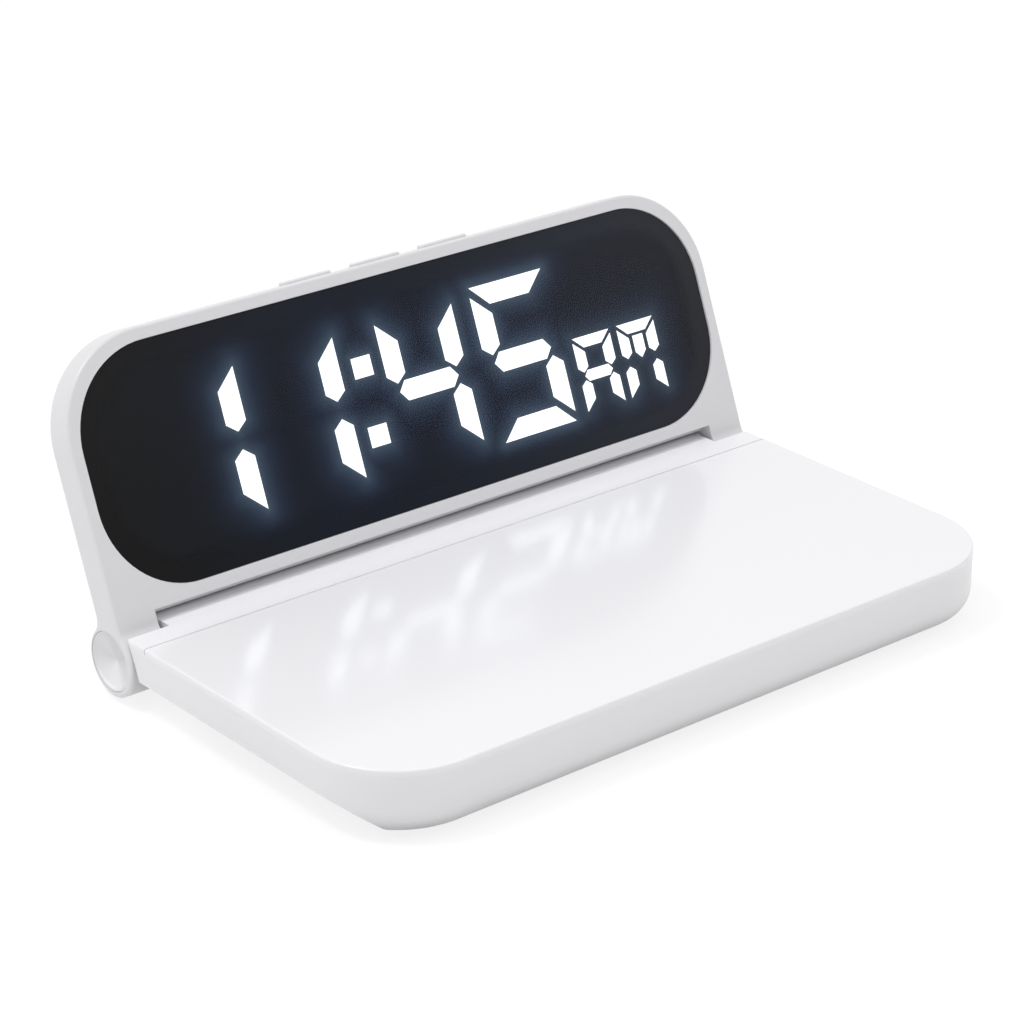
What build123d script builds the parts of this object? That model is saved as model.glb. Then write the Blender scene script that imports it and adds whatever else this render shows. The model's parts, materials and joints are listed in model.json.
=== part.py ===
from build123d import *
import os
from math import cos, radians, sin, tan

os.makedirs("parts", exist_ok=True)

# Folding wireless charging clock, in millimetres. The charging base lies on the table and carries
# a clock panel on two friction hinges at its back edge. X runs across the clock, +Y to the back and
# +Z up. The origin is on the table under the middle of the clock.

# Charging base
base_width = 160.0
base_depth = 77.3  # front edge to the back edge beside the panel's ears
base_height = 13.8  # underside to charging face
base_corner = 19.0  # plan radius of the front corners
base_wall = 2.0
deck_thickness = 1.4  # wall under the charging plate
plate_thickness = 1.2  # charging plate and hinge strip
edge_round = 0.4  # softened edges of the plate and the strip
seam_setback = 5.5  # seam behind the charging plate, from the base's back edge
seam_gap = 0.35
parting_height = 5.2  # underside to the joint between shell and bottom cover
front_round = 5.0  # rounded lower front edge
wing_width = 8.0  # bevel under each side, measured across
wing_height = 6.0  # bevel under each side, measured up
beam_depth = 9.0  # solid beam along the back that carries the hinges
cover_floor = 1.6
cover_front_wall = 4.0
cover_side_wall = 8.5
cover_back_wall = 2.0
lip_height = 1.2  # rim of the bottom cover that drops inside the shell
lip_width = 1.2
slip = 0.1  # gap all round between parts that drop into each other

# Feet and the screws behind them
foot_radius = 5.0
foot_stand = 1.0  # height of the foot below the underside
foot_recess = 0.8
foot_bevel = 0.5
foot_from_side = 20.0
foot_from_front = 14.0
foot_from_back = 16.0
boss_radius = 3.2
base_screw_radius = 1.1
base_screw_head_radius = 2.0
base_screw_head = 1.3
base_screw_grip = 4.6  # length of thread in the shell's boss
thread_gap = 0.05

# Charging coil, main board and power inlet
coil_radius = 21.5
coil_inner_radius = 10.5
coil_thickness = 1.2
ferrite_radius = 24.0
ferrite_thickness = 0.8
board_length = 44.0
board_width = 27.0
board_thickness = 1.2
board_corner = 1.5
board_top_drop = 3.9  # top of the main board below the deck
board_hole_inset = 3.6  # from the board's front and back edges
board_hole_end = 7.0  # from the board's ends
post_radius = 2.3
board_screw_radius = 0.9
board_screw_head_radius = 1.7
board_screw_head = 1.1
board_screw_length = 5.0
power_chip_side = 5.0
power_chip_height = 0.9
inductor_side = 6.5
inductor_height = 2.8
switch_chip_length = 4.9
switch_chip_width = 3.9
switch_chip_height = 1.5
capacitor_length = 3.2
capacitor_width = 1.6
capacitor_height = 1.2
inlet_setback = 36.0  # power inlet in the right wall, from the base's back edge
inlet_width = 8.94
inlet_height = 3.26
inlet_length = 7.4
inlet_wall = 0.3
inlet_recess = 0.4  # mouth of the socket behind the wall's face
inlet_tongue_width = 6.6
inlet_tongue_thickness = 0.7
inlet_core_length = 2.2

# Hinge
axis_drop = 6.65  # hinge axis below the charging face
axis_setback = 5.75  # hinge axis behind the base's back edge
barrel_radius = base_height / 2 + 0.25  # round end of each panel ear
barrel_out = 0.33  # middle of the round end, out in front of the axis
barrel_down = 0.2  # middle of the round end, down the panel from the axis
relief_slope = 23.0  # degrees, back of the base beside the ears
knuckle_radius = barrel_radius - 0.85  # round back of the base between the ears
hinge_gap = 1.1  # knuckle to ear
strip_overlap = 2.15  # hinge strip ends this far in front of the axis
pin_radius = 1.6
pin_length = 19.0
pin_bore_radius = 0.8  # hollow for the lead
pin_head_radius = 3.0
pin_head = 1.0
pin_fit = 0.04  # running clearance round the pin
sleeve_radius = 2.6
sleeve_length = 13.5
sleeve_slot = 0.8
washer_radius = 4.5
cap_radius = barrel_radius - 1.05
cap_seat = 2.2  # depth of the pocket for the hinge cap
cap_rim = 0.5
cap_wall = 0.45  # steep edge inside the rim
cap_sink = 0.12  # cap rim below the ear's end face
cap_dish = 1.5
cap_dimple_radius = 0.6

# Lead from the main board through the right hinge to the light board, and the coil's two wires
lead_radius = 0.6
lead_bend = 1.4
lead_room = 0.3  # passage round the lead
lead_chamber = 2.8  # space between the pin's head and the hinge cap
lead_run = 9.0  # length that lies across the light board
coil_wire_radius = 0.45
coil_wire_pitch = 2.4

# Clock panel, measured from the hinge axis up its face
ear_overhang = 0.7  # ears stand out past the base's sides
panel_width = base_width + 2 * ear_overhang
panel_top = 60.3
panel_front = 5.9  # front face in front of the axis
panel_thickness = 6.85
panel_lean = 21.7  # degrees back from upright
panel_corner = 19.6
panel_rim = 2.4  # wall round the inside of the panel
panel_edge = 0.6  # softened outer edges
ear_width = 8.95
notch_gap = 0.56  # over the hinge strip as the panel turns
notch_top = (strip_overlap**2 + axis_drop**2) ** 0.5 + notch_gap  # cut between the ears
sill_gap = 0.4  # sill at the back of that cut, over the base's knuckle
sill_depth = 3.95
back_blend = 3.5  # hollow blend from the barrel to the panel's back
front_blend = 3.0
lens_border = 2.6  # frame at the sides of the lens
lens_border_top = 2.75
lens_bridge = 2.7  # frame between the notch and the lens
lens_width = panel_width - 2 * lens_border
lens_bottom = notch_top + lens_bridge
lens_height = panel_top - lens_border_top - lens_bottom
lens_corner = panel_corner - lens_border_top / 2
lens_thickness = 1.4
lens_recess = 0.45
lens_ledge = 1.5
rear_thickness = 1.1
rear_margin = 0.8  # ledge that the rear cover sits on
rear_bottom_corner = 3.0
rear_bevel = 0.3
cavity_bottom = lens_bottom + 0.35
rear_screw_inset = 6.8
rear_screw_rise = 3.6
rear_screw_x = panel_width / 2 - rear_screw_inset
rear_screw_up = cavity_bottom + rear_screw_rise
rear_boss_radius = 2.5
rear_screw_radius = 0.9
rear_screw_head_radius = 1.8
rear_screw_head = 0.7
rear_screw_length = 4.4
rear_tab_width = 9.0
rear_tab_thickness = 0.6
rear_tab_reach = 0.8
rear_tab_x = 0.3 * panel_width
sound_hole_radius = 0.6
sound_hole_pitch = 2.6

# Light module behind the lens
module_gap = 0.1  # lens to reflector
reflector_thickness = 1.45
bar_thickness = 0.9
bar_stand = 0.02  # bars stand this far proud of the reflector
led_board_thickness = 1.0
led_length = 1.6
led_width = 0.8
led_height = 0.5
figure_width = 0.1268 * lens_width
figure_height = 0.693 * lens_height
figure_upright = 0.237 * figure_width  # width of an upright bar
figure_level = 0.128 * figure_height  # width of a level bar
figure_gap = 0.061 * figure_height
figure_bottom = lens_bottom + 0.145 * lens_height
figure_right_edges = [part * lens_width for part in (-0.2587, -0.1041, 0.0902, 0.2487)]
colon_x = -0.0694 * lens_width
colon_width = figure_upright
colon_height = figure_level
colon_rise = 0.216 * figure_height
letter_width = 0.0667 * lens_width
letter_height = 0.351 * lens_height
letter_upright = 0.265 * letter_width
letter_level = 0.141 * letter_height
letter_gap = 0.056 * letter_height
letter_bottom = figure_bottom
letter_left_edges = [part * lens_width for part in (0.27, 0.349)]
letter_stroke_width = 0.27 * letter_width
letter_stroke_drop = 0.18 * letter_height
letter_stroke_length = 0.298 * letter_height
alarm_disc_radius = 7.5
alarm_disc_thickness = 0.5
alarm_disc_x = 0.3 * lens_width
alarm_disc_up = lens_bottom + lens_height / 2
clock_chip_length = 9.0
clock_chip_width = 7.0
clock_chip_height = 0.9
clock_chip_x = -0.14 * lens_width
driver_chip_length = 6.4
driver_chip_width = 5.2
crystal_length = 3.2
crystal_width = 1.5
resistor_length = 1.6
resistor_width = 0.8

# Keys in the top edge and their switches
key_pitch = 17.4
key_length = 11.8
key_width = 2.0
key_corner = 0.5
key_stand = 0.7
key_setback = 3.45  # front of the keys behind the panel's front face
key_gap = 0.12
key_bevel = 0.25
key_travel = 0.3
key_flange_length = 13.6
key_flange_width = 1.9
key_flange = 0.9
key_float = 0.05  # flange below the panel's top wall
stem_length = 3.0
stem_width = 0.8
switch_length = 5.0
switch_height = 3.0
switch_depth = 1.15
plunger_length = 2.0
plunger_width = 0.7
plunger_height = 0.4
plunger_gap = 0.1  # left under a pressed key
switch_room = 3.4  # switch below the panel's top wall

# Levels and places that follow from the sizes above
lean = radians(panel_lean)
z_under = foot_stand
z_top = z_under + base_height
z_plate = z_top - plate_thickness
z_deck = z_plate - deck_thickness
z_part = z_under + parting_height
z_floor = z_under + cover_floor
axis_z = z_top - axis_drop
panel_back = panel_front - panel_thickness
front_reach = base_depth + axis_setback
back_reach = (panel_top - panel_edge) * sin(lean) - (panel_back + panel_edge) * cos(lean) + panel_edge
axis_y = (front_reach - back_reach) / 2
base_front = axis_y - front_reach
base_back = axis_y - axis_setback
beam_front = base_back - beam_depth
seam_y = base_back - seam_setback
plate_middle = (base_front + seam_y) / 2
half_width = base_width / 2
half_panel = panel_width / 2
ear_inner = half_panel - ear_width
knuckle_half = ear_inner - hinge_gap
pin_end = half_panel - cap_seat - lead_chamber
lens_seat = panel_front - lens_recess - lens_thickness
lens_middle = lens_bottom + lens_height / 2
reflector_front = lens_seat - module_gap
led_board_front = reflector_front - reflector_thickness
led_board_back = led_board_front - led_board_thickness
rear_inner = panel_back + rear_thickness
lead_depth = led_board_back - lead_radius
lead_knee = cavity_bottom - rear_margin - 2 * lead_radius
lead_split = 0.7 * lead_knee  # where the passage narrows towards the panel's back
cavity_top = panel_top - panel_rim
cavity_half = half_panel - panel_rim
lead_panel_x = cavity_half - lead_radius - lead_room
lead_panel_up = rear_screw_up + rear_boss_radius + 3 * lead_radius
lead_panel_x_end = lead_panel_x - lead_run
switch_up = cavity_top - switch_room - switch_height
key_middle_depth = panel_front - key_setback - key_width / 2
key_places = (-key_pitch, 0, key_pitch)
foot_places = [
    (side * (half_width - foot_from_side), y)
    for side in (-1, 1)
    for y in (base_front + foot_from_front, base_back - foot_from_back)
]
inlet_y = base_back - inlet_setback
board_top = z_deck - board_top_drop
board_low = board_top - board_thickness
board_right = half_width - base_wall - lip_width - 3 * slip
board_middle = board_right - board_length / 2
lead_x = board_middle - 0.1 * board_length
inlet_z = board_top + inlet_height / 2
post_places = [
    (
        board_middle + dx * (board_length / 2 - board_hole_end),
        inlet_y + dy * (board_width / 2 - board_hole_inset),
    )
    for dx in (-1, 1)
    for dy in (-1, 1)
]

# The hinge axis, the panel's own plane (x across, y up the panel, z out of its face) and its directions
hinge_axis = Axis((0, axis_y, axis_z), (1, 0, 0))
panel_face = Plane(origin=(0, axis_y, axis_z), x_dir=(1, 0, 0), z_dir=(0, -cos(lean), sin(lean)))
panel_out = Axis((0, axis_y, axis_z), (0, -cos(lean), sin(lean)))
panel_up = Axis((0, axis_y, axis_z), (0, sin(lean), cos(lean)))


def hinge_end(side, x):
    """Plane square to the hinge axis at distance x to one side, facing away from the middle."""
    return Plane(origin=(side * x, axis_y, axis_z), x_dir=(0, 1, 0), z_dir=(side, 0, 0))


def ear_section(x):
    """Plane square to the hinge axis with x running up the panel and y out of its face."""
    return Plane(origin=(x, axis_y, axis_z), x_dir=(0, sin(lean), cos(lean)), z_dir=(1, 0, 0))


def key_level(up):
    """Plane square to the panel at a height up its face, with y running to the panel's back."""
    origin = panel_face.from_local_coords(Vector(0, up, 0))
    return Plane(origin=origin, x_dir=(1, 0, 0), z_dir=(0, sin(lean), cos(lean)))


# Plan of the base, square at the back and rounded at the front
with BuildSketch() as base_plan:
    with Locations((0, base_back)):
        Rectangle(base_width, base_depth, align=(Align.CENTER, Align.MAX))
    fillet(base_plan.vertices().group_by(Axis.Y)[0], base_corner)

# Inside of the shell, from the front wall to the hinge beam
with BuildSketch() as shell_plan:
    with Locations((0, beam_front)):
        Rectangle(
            base_width - 2 * base_wall,
            base_depth - beam_depth - base_wall,
            align=(Align.CENTER, Align.MAX),
        )
    fillet(shell_plan.vertices().group_by(Axis.Y)[0], base_corner - base_wall)

# Outline of the panel with its two ears
with BuildSketch() as panel_plan:
    Rectangle(panel_width, panel_top, align=(Align.CENTER, Align.MIN))
    fillet(panel_plan.vertices().group_by(Axis.Y)[-1], panel_corner)
    Rectangle(2 * ear_inner, notch_top, align=(Align.CENTER, Align.MIN), mode=Mode.SUBTRACT)

# Inside of the panel, open to the back
with BuildSketch() as cavity_plan:
    with Locations((0, cavity_bottom)):
        Rectangle(2 * cavity_half, cavity_top - cavity_bottom, align=(Align.CENTER, Align.MIN))
    fillet(cavity_plan.vertices().group_by(Axis.Y)[-1], panel_corner - panel_rim)
    fillet(cavity_plan.vertices().group_by(Axis.Y)[0], rear_bottom_corner)

# Wedges that bevel the underside along both sides of the base
with BuildPart() as wings:
    with BuildSketch(Plane.XZ.offset(-base_back - barrel_radius)):
        with BuildLine():
            Polyline(
                (half_width - wing_width, z_under),
                (half_width, z_under + wing_height),
                (half_width + wing_width, z_under + wing_height),
                (half_width + wing_width, z_under - wing_height),
                (half_width - wing_width, z_under - wing_height),
                close=True,
            )
        make_face()
    extrude(amount=base_depth + 2 * barrel_radius)
    mirror(about=Plane.YZ)

# Wedges that clear the panel's ears, sloping forward from the back edge of the base's top
with BuildPart() as ear_wedges:
    with BuildSketch(Plane(origin=(knuckle_half, base_back, z_top), x_dir=(0, 1, 0), z_dir=(1, 0, 0))):
        with BuildLine():
            Polyline(
                (0, plate_thickness),
                (0, -edge_round / 2),
                (-z_top * tan(radians(relief_slope)), -edge_round / 2 - z_top),
                (2 * barrel_radius, -edge_round / 2 - z_top),
                (2 * barrel_radius, plate_thickness),
                close=True,
            )
        make_face()
    extrude(amount=half_width - knuckle_half + ear_overhang)
    mirror(about=Plane.YZ)

# Base shell: side walls, deck, hinge beam and the knuckle between the panel's ears
with BuildPart() as base_shell:
    with BuildSketch(Plane.XY.offset(z_part)):
        add(base_plan.sketch)
    extrude(amount=z_plate - z_part)
    with BuildSketch(Plane.XY.offset(z_part)):
        add(shell_plan.sketch)
    extrude(amount=z_deck - z_part, mode=Mode.SUBTRACT)
    with Locations((0, base_back, z_under)):
        Box(base_width, beam_depth, z_plate - z_under, align=(Align.CENTER, Align.MAX, Align.MIN))
    add(wings.part, mode=Mode.SUBTRACT)
    add(ear_wedges.part, mode=Mode.SUBTRACT)
    with BuildSketch(hinge_end(1, -knuckle_half)):
        Circle(knuckle_radius)
        with Locations((0, -knuckle_radius)):
            Rectangle(
                axis_setback + base_wall,
                knuckle_radius + z_plate - axis_z,
                align=(Align.MAX, Align.MIN),
            )
    extrude(amount=2 * knuckle_half)
    for side in (-1, 1):
        with BuildSketch(hinge_end(side, knuckle_half)):
            Circle(sleeve_radius)
        extrude(amount=-sleeve_length, mode=Mode.SUBTRACT)
        with BuildSketch(hinge_end(side, knuckle_half - sleeve_length)):
            Circle(pin_radius + slip)
        extrude(amount=-(knuckle_half - sleeve_length - lead_x + lead_radius + lead_room), mode=Mode.SUBTRACT)
    with BuildSketch(Plane(origin=(lead_x, beam_front, axis_z), x_dir=(1, 0, 0), z_dir=(0, 1, 0))):
        Circle(pin_radius)
    extrude(amount=axis_y - beam_front, mode=Mode.SUBTRACT)
    with Locations(*[(x, y, z_part) for x, y in foot_places]):
        Cylinder(boss_radius, z_deck - z_part, align=(Align.CENTER, Align.CENTER, Align.MIN))
        Cylinder(
            base_screw_radius + thread_gap,
            base_screw_grip + slip,
            align=(Align.CENTER, Align.CENTER, Align.MIN),
            mode=Mode.SUBTRACT,
        )
    with BuildSketch(Plane(origin=(half_width, inlet_y, inlet_z), x_dir=(0, 1, 0), z_dir=(1, 0, 0))):
        SlotOverall(inlet_width + 2 * slip, inlet_height + 2 * slip)
    extrude(amount=-2 * base_wall, mode=Mode.SUBTRACT)
base_shell.part.label = "base_shell"
export_step(base_shell.part, "parts/base_shell.step")

# Charging plate: glossy top face in front of the seam
with BuildPart() as top_plate:
    with BuildSketch(Plane.XY.offset(z_plate)):
        add(base_plan.sketch)
        with Locations((0, base_back)):
            Rectangle(
                base_width,
                seam_setback + seam_gap / 2,
                align=(Align.CENTER, Align.MAX),
                mode=Mode.SUBTRACT,
            )
    extrude(amount=plate_thickness)
    fillet(top_plate.faces().sort_by(Axis.Z)[-1].edges().sort_by(Axis.Y)[:-1], edge_round)
top_plate.part.label = "top_plate"
export_step(top_plate.part, "parts/top_plate.step")

# Hinge strip: cover behind the seam, with a tongue over the knuckle
with BuildPart() as hinge_strip:
    with BuildSketch(Plane.XY.offset(z_plate)):
        with Locations((0, base_back)):
            Rectangle(base_width, seam_setback - seam_gap / 2, align=(Align.CENTER, Align.MAX))
            Rectangle(
                2 * knuckle_half,
                axis_setback - strip_overlap,
                align=(Align.CENTER, Align.MIN),
            )
    extrude(amount=plate_thickness)
    with BuildSketch(hinge_end(1, -knuckle_half)):
        Circle(knuckle_radius + slip)
    extrude(amount=2 * knuckle_half, mode=Mode.SUBTRACT)
    side_edges = hinge_strip.faces().sort_by(Axis.Z)[-1].edges().filter_by(Axis.Y).sort_by(Axis.X)
    fillet([side_edges[0], side_edges[-1]], edge_round)
    add(ear_wedges.part, mode=Mode.SUBTRACT)
hinge_strip.part.label = "hinge_strip"
export_step(hinge_strip.part, "parts/hinge_strip.step")

# Bottom cover: rounded front, bevelled sides, screw bosses and posts for the main board
with BuildPart() as bottom_cover:
    with BuildSketch(Plane.XY.offset(z_under)):
        add(base_plan.sketch)
        with Locations((0, base_back)):
            Rectangle(base_width, beam_depth + slip, align=(Align.CENTER, Align.MAX), mode=Mode.SUBTRACT)
    extrude(amount=parting_height)
    fillet(bottom_cover.faces().sort_by(Axis.Z)[0].edges().sort_by(Axis.Y)[0], front_round)
    with BuildSketch(Plane.XY.offset(z_part)):
        offset(shell_plan.sketch, amount=-slip)
        offset(shell_plan.sketch, amount=-slip - lip_width, mode=Mode.SUBTRACT)
    extrude(amount=lip_height)
    add(wings.part, mode=Mode.SUBTRACT)
    with BuildSketch(Plane.XY.offset(z_floor)):
        with Locations((0, beam_front - slip - cover_back_wall)):
            hollow = Rectangle(
                base_width - 2 * cover_side_wall,
                base_depth - beam_depth - slip - cover_back_wall - cover_front_wall,
                align=(Align.CENTER, Align.MAX),
            )
        fillet(hollow.vertices().group_by(Axis.Y)[0], base_corner - cover_side_wall)
    extrude(amount=z_part - z_floor, mode=Mode.SUBTRACT)
    with Locations(*[(x, y, z_floor) for x, y in foot_places]):
        Cylinder(boss_radius + base_wall, z_part - z_floor, align=(Align.CENTER, Align.CENTER, Align.MIN))
    with Locations(*[(x, y, z_floor) for x, y in post_places]):
        Cylinder(post_radius, board_low - z_floor, align=(Align.CENTER, Align.CENTER, Align.MIN))
    with Locations(*[(x, y, board_low) for x, y in post_places]):
        Cylinder(
            board_screw_radius + thread_gap,
            board_screw_length - board_thickness + slip,
            align=(Align.CENTER, Align.CENTER, Align.MAX),
            mode=Mode.SUBTRACT,
        )
    with Locations(*[(x, y, z_under) for x, y in foot_places]):
        Cylinder(
            foot_radius + slip,
            foot_recess,
            align=(Align.CENTER, Align.CENTER, Align.MIN),
            mode=Mode.SUBTRACT,
        )
        Cylinder(
            base_screw_head_radius + slip,
            foot_recess + base_screw_head + slip,
            align=(Align.CENTER, Align.CENTER, Align.MIN),
            mode=Mode.SUBTRACT,
        )
        Cylinder(
            base_screw_radius + slip,
            parting_height,
            align=(Align.CENTER, Align.CENTER, Align.MIN),
            mode=Mode.SUBTRACT,
        )
bottom_cover.part.label = "bottom_cover"
export_step(bottom_cover.part, "parts/bottom_cover.step")

# Four rubber feet, stuck over the screws
with BuildPart() as rubber_feet:
    with Locations(*[(x, y, 0) for x, y in foot_places]):
        Cylinder(foot_radius, foot_stand + foot_recess, align=(Align.CENTER, Align.CENTER, Align.MIN))
    chamfer(rubber_feet.edges().group_by(Axis.Z)[0], foot_bevel)
rubber_feet.part.label = "rubber_feet"
export_step(rubber_feet.part, "parts/rubber_feet.step")

# Screws that hold the bottom cover to the shell
head_low = z_under + foot_recess + slip
with BuildPart() as base_screws:
    with Locations(*[(x, y, head_low) for x, y in foot_places]):
        Cylinder(base_screw_head_radius, base_screw_head, align=(Align.CENTER, Align.CENTER, Align.MIN))
        Cylinder(
            base_screw_radius,
            z_part + base_screw_grip - head_low,
            align=(Align.CENTER, Align.CENTER, Align.MIN),
        )
base_screws.part.label = "base_screws"
export_step(base_screws.part, "parts/base_screws.step")

# Charging coil, stuck under the deck in the middle of the plate
with BuildPart() as charging_coil:
    with BuildSketch(Plane.XY.offset(z_deck)):
        with Locations((0, plate_middle)):
            Circle(coil_radius)
            Circle(coil_inner_radius, mode=Mode.SUBTRACT)
    extrude(amount=-coil_thickness)
charging_coil.part.label = "charging_coil"
export_step(charging_coil.part, "parts/charging_coil.step")

# Ferrite sheet behind the coil
with BuildPart() as ferrite_sheet:
    with Locations((0, plate_middle, z_deck - coil_thickness)):
        Cylinder(ferrite_radius, ferrite_thickness, align=(Align.CENTER, Align.CENTER, Align.MAX))
ferrite_sheet.part.label = "ferrite_sheet"
export_step(ferrite_sheet.part, "parts/ferrite_sheet.step")

# Main board on the cover's posts
with BuildPart() as main_board:
    with BuildSketch(Plane.XY.offset(board_low)):
        with Locations((board_middle, inlet_y)):
            RectangleRounded(board_length, board_width, board_corner)
        with Locations(*post_places):
            Circle(board_screw_radius + slip, mode=Mode.SUBTRACT)
    extrude(amount=board_thickness)
main_board.part.label = "main_board"
export_step(main_board.part, "parts/main_board.step")

# Chips, inductor and capacitors on the main board
on_board = (Align.CENTER, Align.CENTER, Align.MIN)
with BuildPart() as board_parts:
    with Locations((board_middle - 0.09 * board_length, inlet_y - 0.11 * board_width, board_top)):
        Box(power_chip_side, power_chip_side, power_chip_height, align=on_board)
    with Locations((board_middle - 0.27 * board_length, inlet_y + 0.15 * board_width, board_top)):
        Box(inductor_side, inductor_side, inductor_height, align=on_board)
    switch_x = board_middle + 0.09 * board_length
    with Locations(*[(switch_x, inlet_y + part * board_width, board_top) for part in (-0.33, 0.26)]):
        Box(switch_chip_length, switch_chip_width, switch_chip_height, align=on_board)
    capacitor_x = board_middle - 0.24 * board_length
    with Locations(*[(capacitor_x, inlet_y - part * board_width, board_top) for part in (0.11, 0.23, 0.35)]):
        Box(capacitor_length, capacitor_width, capacitor_height, align=on_board)
board_parts.part.label = "board_parts"
export_step(board_parts.part, "parts/board_parts.step")

# Screws of the main board
with BuildPart() as board_screws:
    with Locations(*[(x, y, board_top) for x, y in post_places]):
        Cylinder(board_screw_head_radius, board_screw_head, align=(Align.CENTER, Align.CENTER, Align.MIN))
        Cylinder(board_screw_radius, board_screw_length, align=(Align.CENTER, Align.CENTER, Align.MAX))
board_screws.part.label = "board_screws"
export_step(board_screws.part, "parts/board_screws.step")

# Power inlet: metal shell and the contact tongue inside it
inlet_mouth = Plane(origin=(half_width - inlet_recess, inlet_y, inlet_z), x_dir=(0, 1, 0), z_dir=(1, 0, 0))
with BuildPart() as inlet_shell:
    with BuildSketch(inlet_mouth):
        SlotOverall(inlet_width, inlet_height)
        SlotOverall(inlet_width - 2 * inlet_wall, inlet_height - 2 * inlet_wall, mode=Mode.SUBTRACT)
    extrude(amount=-inlet_length)
inlet_shell.part.label = "inlet_shell"
export_step(inlet_shell.part, "parts/inlet_shell.step")

with BuildPart() as inlet_core:
    with BuildSketch(inlet_mouth.offset(-inlet_length)):
        SlotOverall(inlet_width - 2 * inlet_wall, inlet_height - 2 * inlet_wall)
    extrude(amount=inlet_core_length)
    with BuildSketch(inlet_mouth.offset(-inlet_length)):
        RectangleRounded(inlet_tongue_width, inlet_tongue_thickness, inlet_tongue_thickness / 3)
    extrude(amount=inlet_length - inlet_wall)
inlet_core.part.label = "inlet_core"
export_step(inlet_core.part, "parts/inlet_core.step")

# Panel housing: front frame, ears with round barrels, lens seat, key slots and hinge bores
with BuildPart() as display_housing:
    with BuildSketch(panel_face.offset(panel_back)):
        add(panel_plan.sketch)
    extrude(amount=panel_thickness)
    for x in (-half_panel, ear_inner):
        with BuildSketch(ear_section(x)) as ear:
            with Locations((-barrel_down, barrel_out)):
                Circle(barrel_radius)
            with Locations((0, panel_back)):
                Rectangle(panel_top / 2, panel_thickness, align=(Align.MIN, Align.MIN))
            fillet(ear.vertices().filter_by(lambda v: v.X < barrel_radius and v.Y < 0), back_blend)
            fillet(ear.vertices().filter_by(lambda v: v.X < barrel_radius).sort_by(Axis.X)[0], front_blend)
        extrude(amount=ear_width)
    rim = display_housing.faces().filter_by(Axis.X).sort_by(Axis.X)[-1].edges()
    fillet(rim.filter_by(panel_out, reverse=True), panel_edge)
    with BuildSketch(panel_face.offset(panel_back)):
        with Locations((0, notch_top)):
            Rectangle(
                2 * ear_inner,
                notch_top - knuckle_radius - sill_gap,
                align=(Align.CENTER, Align.MAX),
            )
    extrude(amount=sill_depth)
    with BuildSketch(panel_face.offset(panel_front)):
        with Locations((0, lens_middle)):
            RectangleRounded(lens_width + 2 * slip, lens_height + 2 * slip, lens_corner + slip)
    extrude(amount=lens_seat - panel_front, mode=Mode.SUBTRACT)
    with BuildSketch(panel_face.offset(lens_seat)):
        with Locations((0, lens_middle)):
            RectangleRounded(lens_width - 2 * lens_ledge, lens_height - 2 * lens_ledge, lens_corner - lens_ledge)
    extrude(amount=panel_back - lens_seat, mode=Mode.SUBTRACT)
    with BuildSketch(panel_face.offset(panel_back)):
        add(cavity_plan.sketch)
    extrude(amount=led_board_front - panel_back, mode=Mode.SUBTRACT)
    with BuildSketch(panel_face.offset(panel_back)):
        offset(cavity_plan.sketch, amount=rear_margin)
    extrude(amount=rear_thickness, mode=Mode.SUBTRACT)
    with BuildSketch(panel_face.offset(rear_inner)):
        with Locations((-rear_screw_x, rear_screw_up), (rear_screw_x, rear_screw_up)):
            Circle(rear_boss_radius)
    extrude(amount=led_board_front - rear_inner)
    with BuildSketch(panel_face.offset(rear_inner)):
        with Locations((-rear_screw_x, rear_screw_up), (rear_screw_x, rear_screw_up)):
            Circle(rear_screw_radius + thread_gap)
    extrude(amount=rear_screw_length - rear_thickness + slip, mode=Mode.SUBTRACT)
    with BuildSketch(panel_face.offset(rear_inner - rear_tab_thickness - slip)):
        with Locations((-rear_tab_x, cavity_top + rear_margin), (rear_tab_x, cavity_top + rear_margin)):
            Rectangle(rear_tab_width + 2 * slip, 2 * (rear_tab_reach + slip))
    extrude(amount=rear_tab_thickness + slip, mode=Mode.SUBTRACT)
    with BuildSketch(key_level(cavity_top)):
        with Locations(*[(x, -key_middle_depth) for x in key_places]):
            RectangleRounded(key_length + 2 * key_gap, key_width + 2 * key_gap, key_corner + key_gap)
    extrude(amount=panel_rim, mode=Mode.SUBTRACT)
    for side in (-1, 1):
        with BuildSketch(hinge_end(side, ear_inner)):
            Circle(pin_radius)
        extrude(amount=ear_width, mode=Mode.SUBTRACT)
        with BuildSketch(hinge_end(side, pin_end - pin_head)):
            Circle(pin_head_radius + slip)
        extrude(amount=ear_width, mode=Mode.SUBTRACT)
        with BuildSketch(hinge_end(side, half_panel - cap_seat)):
            Circle(cap_radius)
        extrude(amount=ear_width, mode=Mode.SUBTRACT)
    with BuildSketch(key_level(0)):
        with Locations((lead_panel_x, lead_radius + lead_room)):
            Rectangle(
                2 * (lead_radius + lead_room),
                lead_depth + 2 * (lead_radius + lead_room),
                align=(Align.CENTER, Align.MAX),
            )
    extrude(amount=lead_split, mode=Mode.SUBTRACT)
    with BuildSketch(key_level(lead_split)):
        with Locations((lead_panel_x, -lead_depth - lead_radius - lead_room)):
            Rectangle(
                2 * (lead_radius + lead_room),
                lead_depth / 3 + 2 * lead_radius + lead_room + slip,
                align=(Align.CENTER, Align.MIN),
            )
    extrude(amount=cavity_bottom + rear_bottom_corner - lead_split, mode=Mode.SUBTRACT)
display_housing.part.label = "display_housing"
export_step(display_housing.part, "parts/display_housing.step")

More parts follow.
